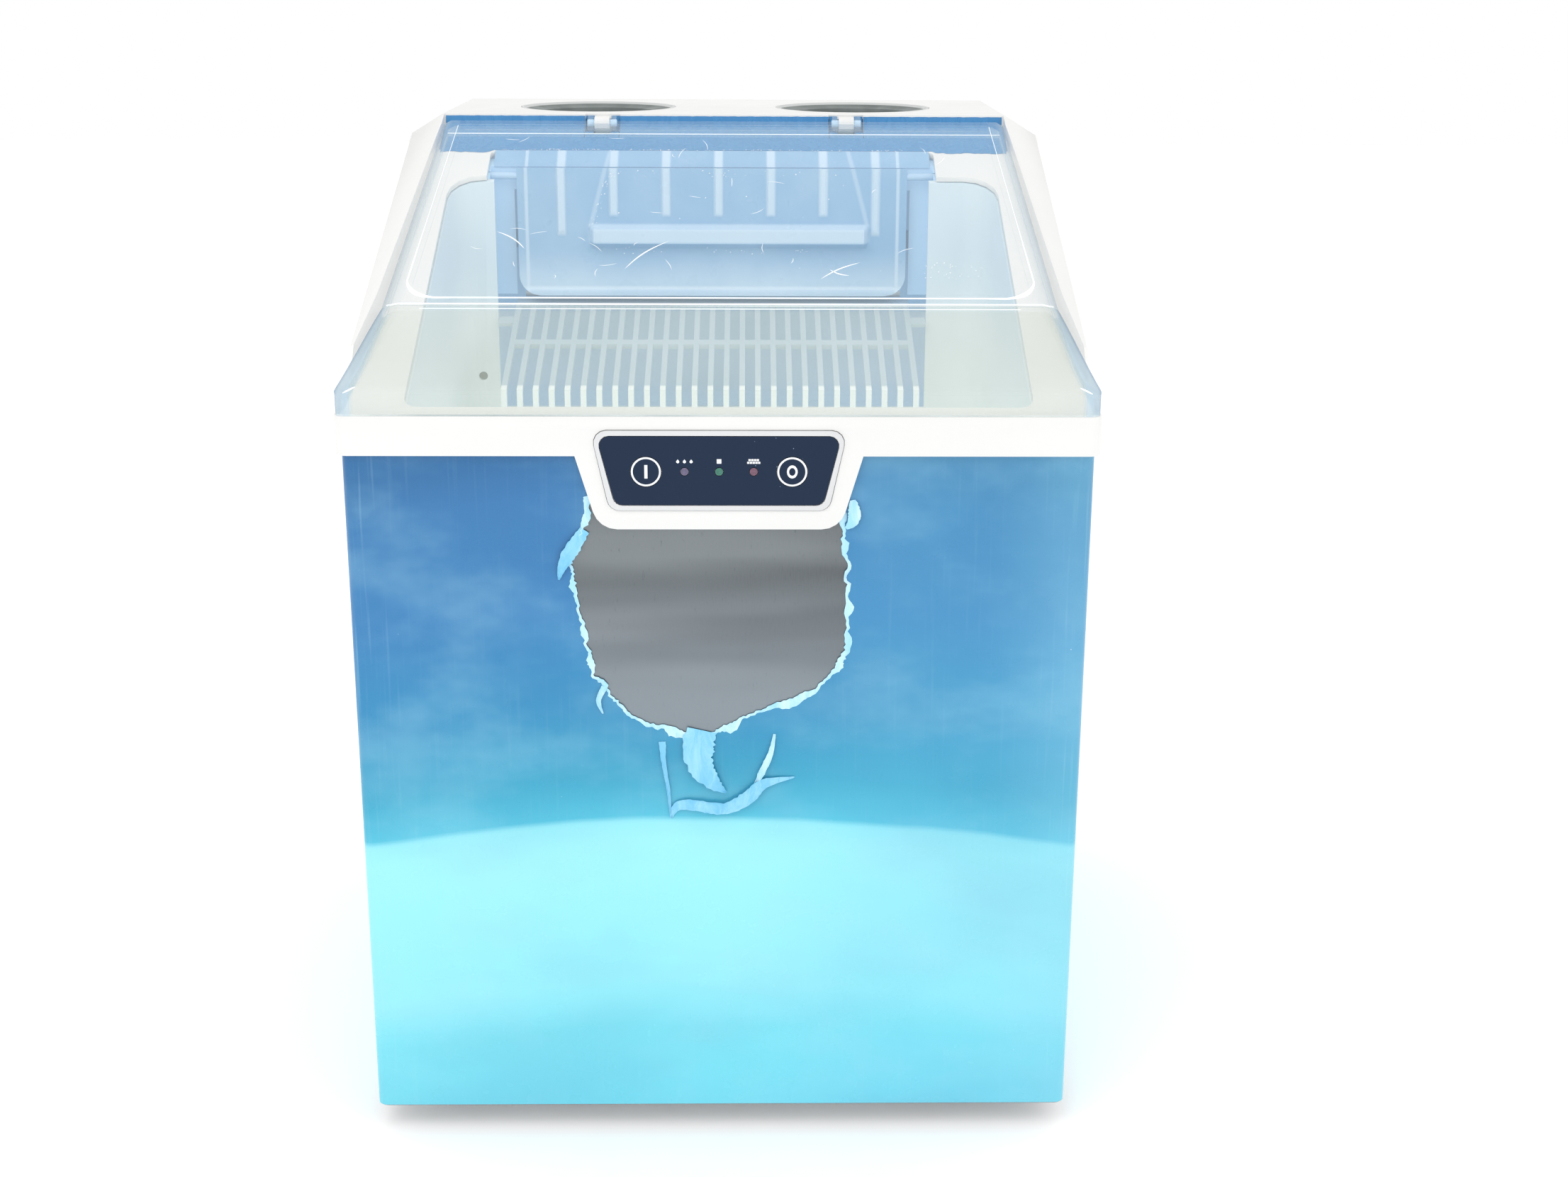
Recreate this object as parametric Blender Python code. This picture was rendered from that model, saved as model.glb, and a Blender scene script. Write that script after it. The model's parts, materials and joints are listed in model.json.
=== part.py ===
"""Countertop ice maker: a film-wrapped steel body, a white top casing, a clear lid and a control panel.

Lengths are in millimetres, and mesh_object turns them into metres. X runs to the right, Y to the back and
Z up. The origin is on the floor under the middle of the body, and the control panel faces -Y.
"""

import math

import bmesh
import bpy
from mathutils import Vector

MM = 0.001
GAP = 0.3  # between pieces that touch
ROUND = 24  # facets of a large turned piece
SMALL_ROUND = 12  # facets of a small one

# Body
FRONT = -196.0  # outer face of the steel wrap
PANEL_FACE = -200.0  # outer face of the control panel's bezel
REAR = 200.0
WRAP_HALF = 180.0
SHEET = 1.0
WRAP_BOTTOM = 14.0
WRAP_END = 198.0
WRAP_CORNER = 5.0
FILM_THICKNESS = 0.25
FILM_GAP = 0.15
FILM_END = 190.0
REAR_PANEL = 192.0

# Top casing
RIM_HALF = 183.0
RIM_FRONT = -199.2
RIM_BOTTOM = 364.0
RIM_TOP = 383.0
WALL = 2.5
SHOULDER_START = -166.0
SHOULDER_FRONT = -159.0
SHOULDER_FRONT_TOP = 409.0
SHOULDER_TOP = 494.0
DECK_FRONT = 60.0
DECK_TOP = 505.0
DECK_HALF = 162.0
APRON_BOTTOM = 328.0
APRON_TOP_HALF = 70.0
APRON_BOTTOM_HALF = 58.0
APRON_BACK = -196.7

# Opening over the ice bin, in the sloping seat that the lid closes on
OPENING_FRONT = -186.0
OPENING_REAR = 8.0
OPENING_HALF = 151.5
FRONT_CORNER = 7.0
REAR_CORNER = 18.0
THROAT_HALF = 125.0
THROAT_REAR = 33.0
SEAT_FRONT_TOP = 385.0
SEAT_SLOPE = 0.464
SEAT_FOOT = -190.3  # the seat is level in front of this line

# Lid
HINGE_Y = 55.0
HINGE_Z = 500.5
HINGE_X = 70.0
PIN_RADIUS = 1.9
LID_WALL = 2.5
LID_FRONT = -200.0
LID_CREASE = -118.0
LID_REAR = 49.0

# Control panel
PANEL_TOP = 376.5
PANEL_BOTTOM = 337.5
BUTTON_X = 34.9
BUTTON_Z = 356.6
BUTTON_RADIUS = 7.3
LED_PITCH = 16.5
LED_RADIUS = 1.9

# Ice bin and ice-making chamber
BIN_FLOOR = 215.0
BIN_TAPER = 8.0
BIN_NOTCH = 345.0
JACKET_BOTTOM = 214.0
JACKET_TOP = 326.0
ICE_X = -6.5  # the ice unit stands left of the machine's middle
ICE_UNIT = ("ice_chamber", "evaporator", "water_distributor", "ice_curtain", "slide_grate")
CHAMBER_HALF = 124.0
CHAMBER_FRONT = 11.0
CHAMBER_REAR = 86.0
CHAMBER_BOTTOM = 330.0
CHAMBER_TOP = 482.0
CURTAIN_Y = 19.0
CURTAIN_PIVOT = 474.0
CURTAIN_TOP = 478.5
CURTAIN_BOTTOM = 407.0
CURTAIN_HALF = 109.5
CURTAIN_RIBS = 7
RIB_PITCH = 29.5
RIB_SHIFT = 3.5
LEDGE_ENDS = (-68.0, 87.0)
GRATE_BARS = 27
GRATE_PITCH = 8.5
GRATE_BAR = 3.0
GRATE_FRONT = (-69.0, 370.0)  # Y and Z of the corner where the sloping bars turn down
GRATE_REAR = (28.0, 404.4)
GRATE_FOOT = 342.0
SENSOR_X = -137.0
SENSOR_Z = 363.0
SENSOR_NOSE = 2.2

# Water
TANK_FLOOR = 30.0
TANK_TOP = 108.0
TANK_HALF = 150.0
TANK_REAR = 46.0
PUMP = (-100.0, 15.0)
FLOAT = (120.0, -150.0)
DRAIN = (-135.0, 42.0)  # X and Z

# Refrigeration
COMPRESSOR = (60.0, 118.0)
COMPRESSOR_RADIUS = 62.0
FAN = (-98.0, 132.0)  # X and Z of the axis
FAN_RADIUS = 54.0
COIL_Y = 61.5
COIL_RADIUS = 2.5
COIL_HALF = 95.0
COIL_BOTTOM = 412.0
COIL_TOP = 450.0

# Bottle wells
WELL_X = 77.0
WELL_Y = 128.0
WELL_RADIUS = 46.7

# Finishes: colour, roughness, metallic and alpha
WHITE_ABS = ((0.86, 0.87, 0.87), 0.35, 0.0, 1.0)
CLEAR_LID = ((0.78, 0.88, 0.90), 0.08, 0.0, 0.35)
STEEL = ((0.42, 0.42, 0.43), 0.38, 1.0, 1.0)
BLUE_FILM = ((0.06, 0.36, 0.62), 0.20, 0.0, 1.0)
PALE_GREY = ((0.62, 0.65, 0.68), 0.40, 0.0, 1.0)
NAVY = ((0.012, 0.026, 0.075), 0.18, 0.0, 1.0)
RUBBER = ((0.03, 0.03, 0.03), 0.85, 0.0, 1.0)
DARK_GREY = ((0.10, 0.11, 0.11), 0.50, 0.0, 1.0)
GALVANISED = ((0.50, 0.52, 0.53), 0.45, 1.0, 1.0)
COPPER = ((0.72, 0.38, 0.22), 0.30, 1.0, 1.0)
ALUMINIUM = ((0.75, 0.76, 0.77), 0.30, 1.0, 1.0)
BLACK_PAINT = ((0.015, 0.015, 0.015), 0.40, 0.0, 1.0)
FOAM = ((0.85, 0.78, 0.55), 0.90, 0.0, 1.0)
CURTAIN_BLUE = ((0.42, 0.64, 0.84), 0.25, 0.0, 0.75)
BOARD_GREEN = ((0.02, 0.16, 0.06), 0.50, 0.0, 1.0)
LED_LENS = ((0.35, 0.33, 0.45), 0.20, 0.0, 1.0)
HOSE = ((0.80, 0.83, 0.84), 0.35, 0.0, 0.8)


def seat(y):
    """Height of the sloping seat under the lid, which is level in front of the opening."""
    return max(RIM_TOP, SEAT_FRONT_TOP + SEAT_SLOPE * (y - OPENING_FRONT))


# Shapes: each function returns the points and faces of closed bodies.


def loft(sections):
    """One body through outlines with equal numbers of points, closed by a flat face at each end."""
    count = len(sections[0])
    points = [point for section in sections for point in section]
    faces = [tuple(reversed(range(count))), tuple(range(len(points) - count, len(points)))]
    for first in range(0, len(points) - count, count):
        for i in range(count):
            j = (i + 1) % count
            faces.append((first + i, first + j, first + count + j, first + count + i))
    return points, faces


def placed(axis, u, v, along):
    """The point at u and v in the plane across the axis, in X, Y, Z order."""
    return {"X": (along, u, v), "Y": (u, along, v), "Z": (u, v, along)}[axis]


def prism(outline, axis, low, high):
    return loft([[placed(axis, u, v, along) for u, v in outline] for along in (low, high)])


def block(low, high):
    corners = [(low[0], low[1]), (high[0], low[1]), (high[0], high[1]), (low[0], high[1])]
    return prism(corners, "Z", low[2], high[2])


def fillet(corners, radius, steps=4):
    """A polygon with its corners turned into arcs; radius is one number, or a list of one per corner."""
    radii = radius if isinstance(radius, list) else [radius] * len(corners)
    outline = []
    for index, size in enumerate(radii):
        corner = Vector(corners[index])
        if size == 0:
            outline.append(tuple(corner))
            continue
        before = (Vector(corners[index - 1]) - corner).normalized()
        after = (Vector(corners[(index + 1) % len(corners)]) - corner).normalized()
        half = before.angle(after) / 2
        centre = corner + (before + after).normalized() * size / math.sin(half)
        start = corner + before * size / math.tan(half) - centre
        end = corner + after * size / math.tan(half) - centre
        first = math.atan2(start.y, start.x)
        sweep = (math.atan2(end.y, end.x) - first + math.pi) % math.tau - math.pi
        for step in range(steps + 1):
            angle = first + sweep * step / steps
            outline.append((centre.x + size * math.cos(angle), centre.y + size * math.sin(angle)))
    return outline


def rectangle(low_u, high_u, low_v, high_v, radius=0, steps=4):
    corners = [(low_u, low_v), (high_u, low_v), (high_u, high_v), (low_u, high_v)]
    return fillet(corners, radius, steps)


def lathe(profile, axis, centre, facets=ROUND):
    """A body turned about an axis through centre; profile holds (radius, distance along the axis).

    A profile that starts and ends on the axis makes a solid body. Any other one is closed into a ring.
    """
    points, rings = [], []
    for radius, along in profile:
        if radius == 0:
            rings.append([len(points)] * facets)
            points.append((0.0, 0.0, along))
            continue
        rings.append(list(range(len(points), len(points) + facets)))
        for i in range(facets):
            angle = math.tau * i / facets
            points.append((radius * math.cos(angle), radius * math.sin(angle), along))
    pairs = list(zip(rings, rings[1:]))
    if profile[0][0] > 0:
        pairs.append((rings[-1], rings[0]))
    faces = []
    for one, other in pairs:
        for i in range(facets):
            j = (i + 1) % facets
            corners = list(dict.fromkeys([one[i], one[j], other[j], other[i]]))
            if len(corners) > 2:
                faces.append(tuple(corners))
    turned = [placed(axis, u, v, along) for u, v, along in points]
    return [tuple(p + c for p, c in zip(point, centre)) for point in turned], faces


def rod(radius, axis, low, high, centre, facets=SMALL_ROUND):
    return lathe([(0, low), (radius, low), (radius, high), (0, high)], axis, centre, facets)


def together(shapes):
    """Several bodies in one list, for a tool that makes many cuts at once."""
    points, faces = [], []
    for more_points, more_faces in shapes:
        faces += [tuple(i + len(points) for i in face) for face in more_faces]
        points += more_points
    return points, faces


# Objects


def finish_material(name, finish):
    colour, roughness, metallic, alpha = finish
    material = bpy.data.materials.new(name)
    material.use_nodes = True
    shader = material.node_tree.nodes["Principled BSDF"]
    shader.inputs["Base Color"].default_value = (*colour, 1.0)
    shader.inputs["Roughness"].default_value = roughness
    shader.inputs["Metallic"].default_value = metallic
    shader.inputs["Alpha"].default_value = alpha
    material.diffuse_color = (*colour, alpha)
    return material


def mesh_object(name, shape, pivot=(0, 0, 0)):
    points, faces = shape
    mesh = bpy.data.meshes.new(name)
    mesh.from_pydata([(Vector(p) - Vector(pivot)) * MM for p in points], [], faces)
    build = bmesh.new()
    build.from_mesh(mesh)
    bmesh.ops.recalc_face_normals(build, faces=build.faces)
    build.to_mesh(mesh)
    build.free()
    item = bpy.data.objects.new(name, mesh)
    item.location = Vector(pivot) * MM
    bpy.context.scene.collection.objects.link(item)
    return item


def combine(item, shapes, operation):
    """Joins shapes to a piece, or cuts them from it, one Boolean modifier each."""
    for shape in shapes:
        tool = mesh_object(f"{item.name}_tool_{len(item.modifiers)}", shape)
        tool.hide_render = True
        tool.display_type = "WIRE"
        modifier = item.modifiers.new(tool.name, "BOOLEAN")
        modifier.operation = operation
        modifier.object = tool
        modifier.solver = "EXACT"


def make(name, shape, finish, add=(), cut=(), pivot=(0, 0, 0)):
    """A named piece: the shape, joined with each shape in add and then cut by each one in cut."""
    item = mesh_object(name, shape, pivot)
    item.data.materials.append(finish_material(name, finish))
    item.data.shade_smooth()
    item.data.set_sharp_from_angle(angle=math.radians(30))
    combine(item, add, "UNION")
    combine(item, cut, "DIFFERENCE")
    return item


def pipe(name, corners, radius, finish, bend=12.0, steps=4):
    """A pipe of round section through the corners, each of which is eased into a bend."""
    path = [Vector(corners[0])]
    for before, corner, after in zip(corners, corners[1:], corners[2:]):
        here = Vector(corner)
        start = here + (Vector(before) - here).normalized() * bend
        end = here + (Vector(after) - here).normalized() * bend
        for step in range(steps + 1):
            t = step / steps
            path.append(start * (1 - t) ** 2 + here * 2 * t * (1 - t) + end * t**2)
    path.append(Vector(corners[-1]))
    curve = bpy.data.curves.new(name, "CURVE")
    curve.dimensions = "3D"
    curve.bevel_depth = radius * MM
    curve.bevel_resolution = 1
    curve.use_fill_caps = True
    spline = curve.splines.new("POLY")
    spline.points.add(len(path) - 1)
    for point, place in zip(spline.points, path):
        point.co = (*(place * MM), 1.0)
    curve.materials.append(finish_material(name, finish))
    item = bpy.data.objects.new(name, curve)
    bpy.context.scene.collection.objects.link(item)
    return item


# Structure


def plan_ring(half_x, front, rear, radius, height):
    """A rounded rectangle seen from above; height is a number, or a function of Y for a sloping edge."""
    level = height if callable(height) else lambda _: height
    return [(x, y, level(y)) for x, y in rectangle(-half_x, half_x, front, rear, radius)]


def base_pan():
    plinth = 158.0
    rings = [
        plan_ring(plinth, -172, 172, 8, 6),
        plan_ring(plinth, -172, 172, 8, WRAP_BOTTOM + 0.5),
        plan_ring(176.5, -192, 188, 6, WRAP_BOTTOM + 0.5),
        plan_ring(176.5, -192, 188, 6, 28),
        plan_ring(174.5, -190, 186, 6, 28),
        plan_ring(174.5, -190, 186, 6, 17),
        plan_ring(plinth - 2.5, -169.5, 169.5, 6, 17),
        plan_ring(plinth - 2.5, -169.5, 169.5, 6, 8.5),
    ]
    holes = together([rod(4.4, "Z", 4, 12, (x, y, 0)) for x, y in foot_places().values()])
    make("base_pan", loft(rings), GALVANISED, cut=[holes])


def foot_places():
    return {
        "foot_front_left": (-138, -150),
        "foot_front_right": (138, -150),
        "foot_rear_left": (-138, 150),
        "foot_rear_right": (138, 150),
    }


def feet():
    profile = [(0, 0), (12, 0), (14, 1.5), (13, 5.7), (4, 5.7), (4, 10), (0, 10)]
    for name, (x, y) in foot_places().items():
        make(name, lathe(profile, "Z", (x, y, 0), 16), RUBBER)


def u_sheet(half, front, end, thickness, radius):
    """Plan of a sheet bent round the front and both sides."""
    inner = half - thickness
    corners = [(half, end), (half, front), (-half, front), (-half, end)]
    corners += [(-inner, end), (-inner, front + thickness), (inner, front + thickness), (inner, end)]
    return fillet(corners, [0, radius, radius, 0, 0, radius - thickness, radius - thickness, 0])


def stem_holes(radius):
    return together([rod(radius, "Y", -202, -190, (side * BUTTON_X, 0, BUTTON_Z)) for side in (-1, 1)])


def body_wrap():
    plan = u_sheet(WRAP_HALF, FRONT, WRAP_END, SHEET, WRAP_CORNER)
    make("body_wrap", prism(plan, "Z", WRAP_BOTTOM, RIM_BOTTOM - GAP), STEEL, cut=[stem_holes(3.2)])


def protective_film():
    """The blue film over the steel, torn away below the panel and folded back behind it."""
    half = WRAP_HALF + FILM_GAP + FILM_THICKNESS
    front = FRONT - FILM_GAP - FILM_THICKNESS
    plan = u_sheet(half, front, FILM_END, FILM_THICKNESS, WRAP_CORNER + FILM_GAP)
    tear = [(-66, 370), (-67, 262), (-46, 236), (-14, 224), (14, 230), (50, 248), (62, 268), (62, 370)]
    hole = prism(fillet(tear, [0, 20, 20, 14, 14, 20, 20, 0]), "Y", FRONT - 4, FRONT + 2)
    make("protective_film", prism(plan, "Z", WRAP_BOTTOM + 0.5, RIM_BOTTOM - 0.5), BLUE_FILM, cut=[hole])


def rear_panel():
    slots = []
    for side in (-1, 1):
        for row in range(9):
            z = 90 + 12 * row
            slots.append(block((side * 95 - 55, 190, z), (side * 95 + 55, 196, z + 3.8)))
    slots.append(rod(9.5, "Y", 190, 196, (DRAIN[0], 0, DRAIN[1])))
    slots.append(rod(12.5, "Y", 190, 196, (130, 0, 300)))
    slots.append(block((106, 190, 46), (134, 196, 66)))
    for x, z in screw_places():
        slots.append(rod(2.2, "Y", 190, 196, (x, 0, z)))
    sheet = block((-178.5, REAR_PANEL, 16), (178.5, REAR_PANEL + 1.2, RIM_BOTTOM - 1))
    make("rear_panel", sheet, GALVANISED, cut=[together(slots)])


def screw_places():
    return [(-168, 36), (168, 36), (-168, 345), (168, 345)]


def screws():
    head = REAR_PANEL + 1.5
    profile = [(0, -6), (1.8, -6), (1.8, head - REAR_PANEL), (4, head - REAR_PANEL), (3, 4), (0, 4)]
    for number, (x, z) in enumerate(screw_places(), 1):
        make(f"rear_screw_{number}", lathe(profile, "Y", (x, REAR_PANEL, z), 10), ALUMINIUM)


def casing_section(y, shoulder, inset, floor):
    """Cross-section of the upper casing at y: straight sides and a chamfer up to the deck."""
    half, deck = WRAP_HALF - inset, DECK_HALF - inset / 2
    rise = DECK_TOP - SHOULDER_TOP
    right = [(half, floor), (half, shoulder - inset / 2), (deck, shoulder + rise - inset)]
    left = [(-x, z) for x, z in reversed(right)]
    return [(x, y, z) for x, z in right + left]


def lid_half(y):
    """Half-width of the lid's outer edge, which narrows towards the hinge."""
    stations = ((LID_FRONT, 182.5), (LID_CREASE, 171.0), (LID_REAR, 159.5))
    first, second = stations[:2] if y < LID_CREASE else stations[1:]
    share = (y - first[0]) / (second[0] - first[0])
    return first[1] + share * (second[1] - first[1])


def above_seat(stations, drop=0.0):
    """Tool for the space above the seat; each station is a Y and the tool's half-width there."""
    sections = []
    for y, half in stations:
        low = seat(y) - drop
        sections.append([(-half, y, low), (half, y, low), (half, y, 530), (-half, y, 530)])
    return loft(sections)


def bezel_outline(margin):
    """The panel's trapezium, grown or shrunk by a margin."""
    top, bottom = 61 + margin, 52.5 + margin
    corners = [(-top, PANEL_TOP + margin), (-bottom, PANEL_BOTTOM - margin)]
    corners += [(bottom, PANEL_BOTTOM - margin), (top, PANEL_TOP + margin)]
    return fillet(corners, 6.0 + margin / 2)


def top_casing():
    rim = loft([plan_ring(RIM_HALF, RIM_FRONT, REAR, 6, z) for z in (RIM_BOTTOM, RIM_TOP)])
    upper = loft([
        casing_section(SHOULDER_START - 2, 391, 0, 370),
        casing_section(SHOULDER_FRONT, SHOULDER_FRONT_TOP, 0, 370),
        casing_section(DECK_FRONT, SHOULDER_TOP, 0, 370),
        casing_section(REAR - 3, SHOULDER_TOP, 0, 370),
        casing_section(REAR, SHOULDER_TOP, 3, 370),
    ])
    nose_rear, nose_half = -140, RIM_HALF - 3
    nose_side = [(FRONT, 370), (FRONT, RIM_TOP), (nose_rear, seat(nose_rear)), (nose_rear, 370)]
    nose = prism(nose_side, "X", -nose_half, nose_half)
    apron_corners = [(-APRON_TOP_HALF, 368), (-APRON_BOTTOM_HALF, APRON_BOTTOM)]
    apron_corners += [(APRON_BOTTOM_HALF, APRON_BOTTOM), (APRON_TOP_HALF, 368)]
    apron = prism(fillet(apron_corners, [0, 12, 12, 0]), "Y", RIM_FRONT, APRON_BACK)

    front_hollow = [(-193, 350), (-193, RIM_TOP - WALL), (SEAT_FOOT, RIM_TOP - WALL)]
    front_hollow += [(THROAT_REAR, seat(THROAT_REAR) - WALL), (THROAT_REAR, seat(THROAT_REAR) - 4)]
    front_hollow += [(DECK_FRONT + WALL + 1, seat(DECK_FRONT) - 4), (DECK_FRONT + WALL + 1, 350)]
    hollow_ends = (DECK_FRONT + WALL, REAR - WALL - 1)
    rear_hollow = loft([casing_section(y, SHOULDER_TOP, WALL, 350) for y in hollow_ends])
    opening = [(-OPENING_HALF, OPENING_FRONT), (OPENING_HALF, OPENING_FRONT), (OPENING_HALF, OPENING_REAR)]
    throat_left, throat_right = ICE_X - THROAT_HALF, ICE_X + THROAT_HALF
    opening += [(throat_right, OPENING_REAR), (throat_right, THROAT_REAR), (throat_left, THROAT_REAR)]
    opening += [(throat_left, OPENING_REAR), (-OPENING_HALF, OPENING_REAR)]
    opening = fillet(opening, [FRONT_CORNER, FRONT_CORNER, REAR_CORNER, 0, 4, 4, 0, REAR_CORNER])
    lid_space = [(-206, 190), (SEAT_FOOT, 190), (SHOULDER_START, 190), (SHOULDER_START + 0.1, None)]
    lid_space += [(LID_CREASE, None), (DECK_FRONT, None)]
    lid_space = [(y, half or lid_half(y) + 1.5) for y, half in lid_space]
    wells = [rod(WELL_RADIUS + GAP, "Z", 495, 512, (side * WELL_X, WELL_Y, 0), ROUND) for side in (-1, 1)]
    cuts = [
        above_seat(lid_space),
        above_seat([(THROAT_REAR + 0.7, 161), (DECK_FRONT - 0.1, 161)], drop=1.3),
        prism(front_hollow, "X", -174, 174),
        rear_hollow,
        prism(opening, "Z", 345, 530),
        together(wells),
        hinge_pockets(),
        prism(bezel_outline(GAP), "Y", -203, -197.6),
        stem_holes(3.2),
    ]
    make("top_casing", rim, WHITE_ABS, add=[nose, upper, apron], cut=cuts)


def hinge_pockets():
    return together([
        block((side * HINGE_X - 10, 46.5, 486), (side * HINGE_X + 10, 63.5, 512)) for side in (-1, 1)
    ])


def header_panel():
    """Steel strip behind the throat, in the plane of the seat."""
    front, rear = THROAT_REAR + 1, DECK_FRONT - 0.5
    strip = [(front, seat(front) - 1), (rear, seat(rear) - 1), (rear, seat(rear)), (front, seat(front))]
    make("header_panel", prism(strip, "X", -160.5, 160.5), STEEL, cut=[hinge_pockets()])


def bottle_wells():
    inner, floor = 35.0, 458.0
    profile = [(0, floor - 3), (inner + 3, floor - 3), (inner + 3, 499), (WELL_RADIUS, 501)]
    profile += [(WELL_RADIUS, DECK_TOP), (45.2, DECK_TOP), (44, 503.8), (inner + 1, 502), (inner, 500)]
    profile += [(inner, floor), (0, floor)]
    for name, side in (("bottle_well_left", -1), ("bottle_well_right", 1)):
        make(name, lathe(profile, "Z", (side * WELL_X, WELL_Y, 0)), DARK_GREY)


# Control panel


def control_panel():
    frame = prism(bezel_outline(0), "Y", PANEL_FACE, -197.9)
    pocket = prism(bezel_outline(-2.4), "Y", -203, -198.7)
    sides = (-1, 1)
    buttons = [rod(BUTTON_RADIUS + GAP, "Y", -204, -196, (s * BUTTON_X, 0, BUTTON_Z), 20) for s in sides]
    lights = [rod(LED_RADIUS + GAP, "Y", -204, -196, (n * LED_PITCH, 0, BUTTON_Z)) for n in (-1, 0, 1)]
    holes = together(buttons + lights)
    make("panel_bezel", frame, PALE_GREY, cut=[pocket, holes])
    make("panel_overlay", prism(bezel_outline(-2.7), "Y", -199.8, -199.0), NAVY, cut=[holes])
    radius, stem = BUTTON_RADIUS, 2.5
    profile = [(0, -199.8), (radius - 0.3, -199.8), (radius, -199.5), (radius, -198.9)]
    profile += [(stem, -198.9), (stem, -194.2), (0, -194.2)]
    for name, side in zip(("button_on", "button_off"), sides):
        centre = (side * BUTTON_X, 0, BUTTON_Z)
        make(name, lathe(profile, "Y", centre, 20), NAVY, pivot=centre)
    for name, n in (("led_add_water", -1), ("led_ice", 0), ("led_ice_full", 1)):
        make(name, rod(LED_RADIUS, "Y", -199.8, -197.9, (n * LED_PITCH, 0, BUTTON_Z)), LED_LENS)
    switches = []
    for x in (-BUTTON_X, BUTTON_X):
        switches.append(block((x - 4, -193.5, BUTTON_Z - 4), (x + 4, -192.5, BUTTON_Z + 4)))
    board = block((-52, -193, 342), (52, -191.4, 373))
    make("control_board", board, BOARD_GREEN, add=[together(switches)])


# Lid and hinges


def lid_sections(inset):
    """Cross-sections of the lid from its front edge to its hinge edge; inset is the inside's wall."""
    stations = [
        (LID_FRONT, 396.0, 2.0),
        (LID_FRONT + 1.8, 398.0, 7.5),
        (SEAT_FOOT, 400.4, 7.0),
        (LID_CREASE, 423.0, 3.0),
        (LID_REAR, 502.0, 3.0),
    ]
    sections = []
    for number, (y, top, bevel) in enumerate(stations):
        if inset and number == 0:
            continue
        if inset and number == 1:
            y = LID_FRONT + inset
        if inset and number == len(stations) - 1:
            y, top = y - inset, top - inset * 0.473
        half = lid_half(y) - inset
        bottom = seat(y) + 0.4 - inset * 4
        side = [(half, bottom), (half, top - inset - bevel / 2), (half - bevel, top - inset)]
        outline = side + [(-x, z) for x, z in reversed(side)]
        sections.append([(x, y, z) for x, z in outline])
    return sections


def hinge_profile(radius, low_y, low_z, high_z):
    """Eye round the hinge axis with a tab that runs forwards to low_y."""
    eye = []
    for step in range(7):
        angle = math.radians(90 - 30 * step)
        eye.append((HINGE_Y + radius * math.cos(angle), HINGE_Z + radius * math.sin(angle)))
    return eye + [(low_y, low_z), (low_y, high_z)]


def lid():
    lugs = []
    for side in (-1, 1):
        for offset in (-6.5, 6.5):
            middle = side * HINGE_X + offset
            outline = hinge_profile(4.0, LID_REAR - 1.2, HINGE_Z - 3.5, HINGE_Z)
            lugs.append(prism(outline, "X", middle - 1.6, middle + 1.6))
    bores = [
        rod(PIN_RADIUS + 0.35, "X", side * HINGE_X - 12, side * HINGE_X + 12, (0, HINGE_Y, HINGE_Z))
        for side in (-1, 1)
    ]
    hollow = loft(lid_sections(LID_WALL))
    shell = make("lid", loft(lid_sections(0)), CLEAR_LID, cut=[hollow], pivot=(0, HINGE_Y, HINGE_Z))
    combine(shell, [together(lugs)], "UNION")
    combine(shell, [together(bores)], "DIFFERENCE")


def hinges():
    for name, side in (("left", -1), ("right", 1)):
        x = side * HINGE_X
        arm = [(51.2, 500.5), (52.2, 497.6), (55, 496.4), (64, 492), (76, 492)]
        arm += [(76, 502.2), (64, 502.2), (55, 504.3), (52.2, 503.3)]
        hole = rod(PIN_RADIUS + GAP, "X", x - 6, x + 6, (0, HINGE_Y, HINGE_Z))
        make(f"hinge_bracket_{name}", prism(arm, "X", x - 4.4, x + 4.4), WHITE_ABS, cut=[hole])
        make(f"hinge_pin_{name}", rod(PIN_RADIUS, "X", x - 8.4, x + 8.4, (0, HINGE_Y, HINGE_Z)), STEEL)


# Ice bin and ice-making chamber


def bin_corners(margin):
    """Corner radii of the bin's plan, tighter in front, grown by a margin."""
    return [radius + margin for radius in (FRONT_CORNER, FRONT_CORNER, REAR_CORNER, REAR_CORNER)]


def bin_liner():
    """Tub under the opening that narrows downwards, with a notch behind for the ice chamber."""
    def edge(y):
        return seat(y) - WALL - 0.7

    half, front, rear = OPENING_HALF - 1, OPENING_FRONT, OPENING_REAR
    low_half, low_front, low_rear = half - BIN_TAPER, front + BIN_TAPER, rear - BIN_TAPER / 2
    rings = [
        plan_ring(low_half + WALL, low_front - WALL, low_rear + WALL, bin_corners(0), BIN_FLOOR - WALL),
        plan_ring(half + WALL, front - WALL, rear + WALL, bin_corners(WALL), edge),
        plan_ring(half, front, rear, bin_corners(0), edge),
        plan_ring(low_half, low_front, low_rear, bin_corners(-2), BIN_FLOOR),
    ]
    notch = block((ICE_X - 121, -4, BIN_NOTCH), (ICE_X + 121, 16, 500))
    eye = rod(SENSOR_NOSE + GAP, "Y", -6, 16, (SENSOR_X, 0, SENSOR_Z))
    make("bin_liner", loft(rings), WHITE_ABS, cut=[notch, eye])


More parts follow.
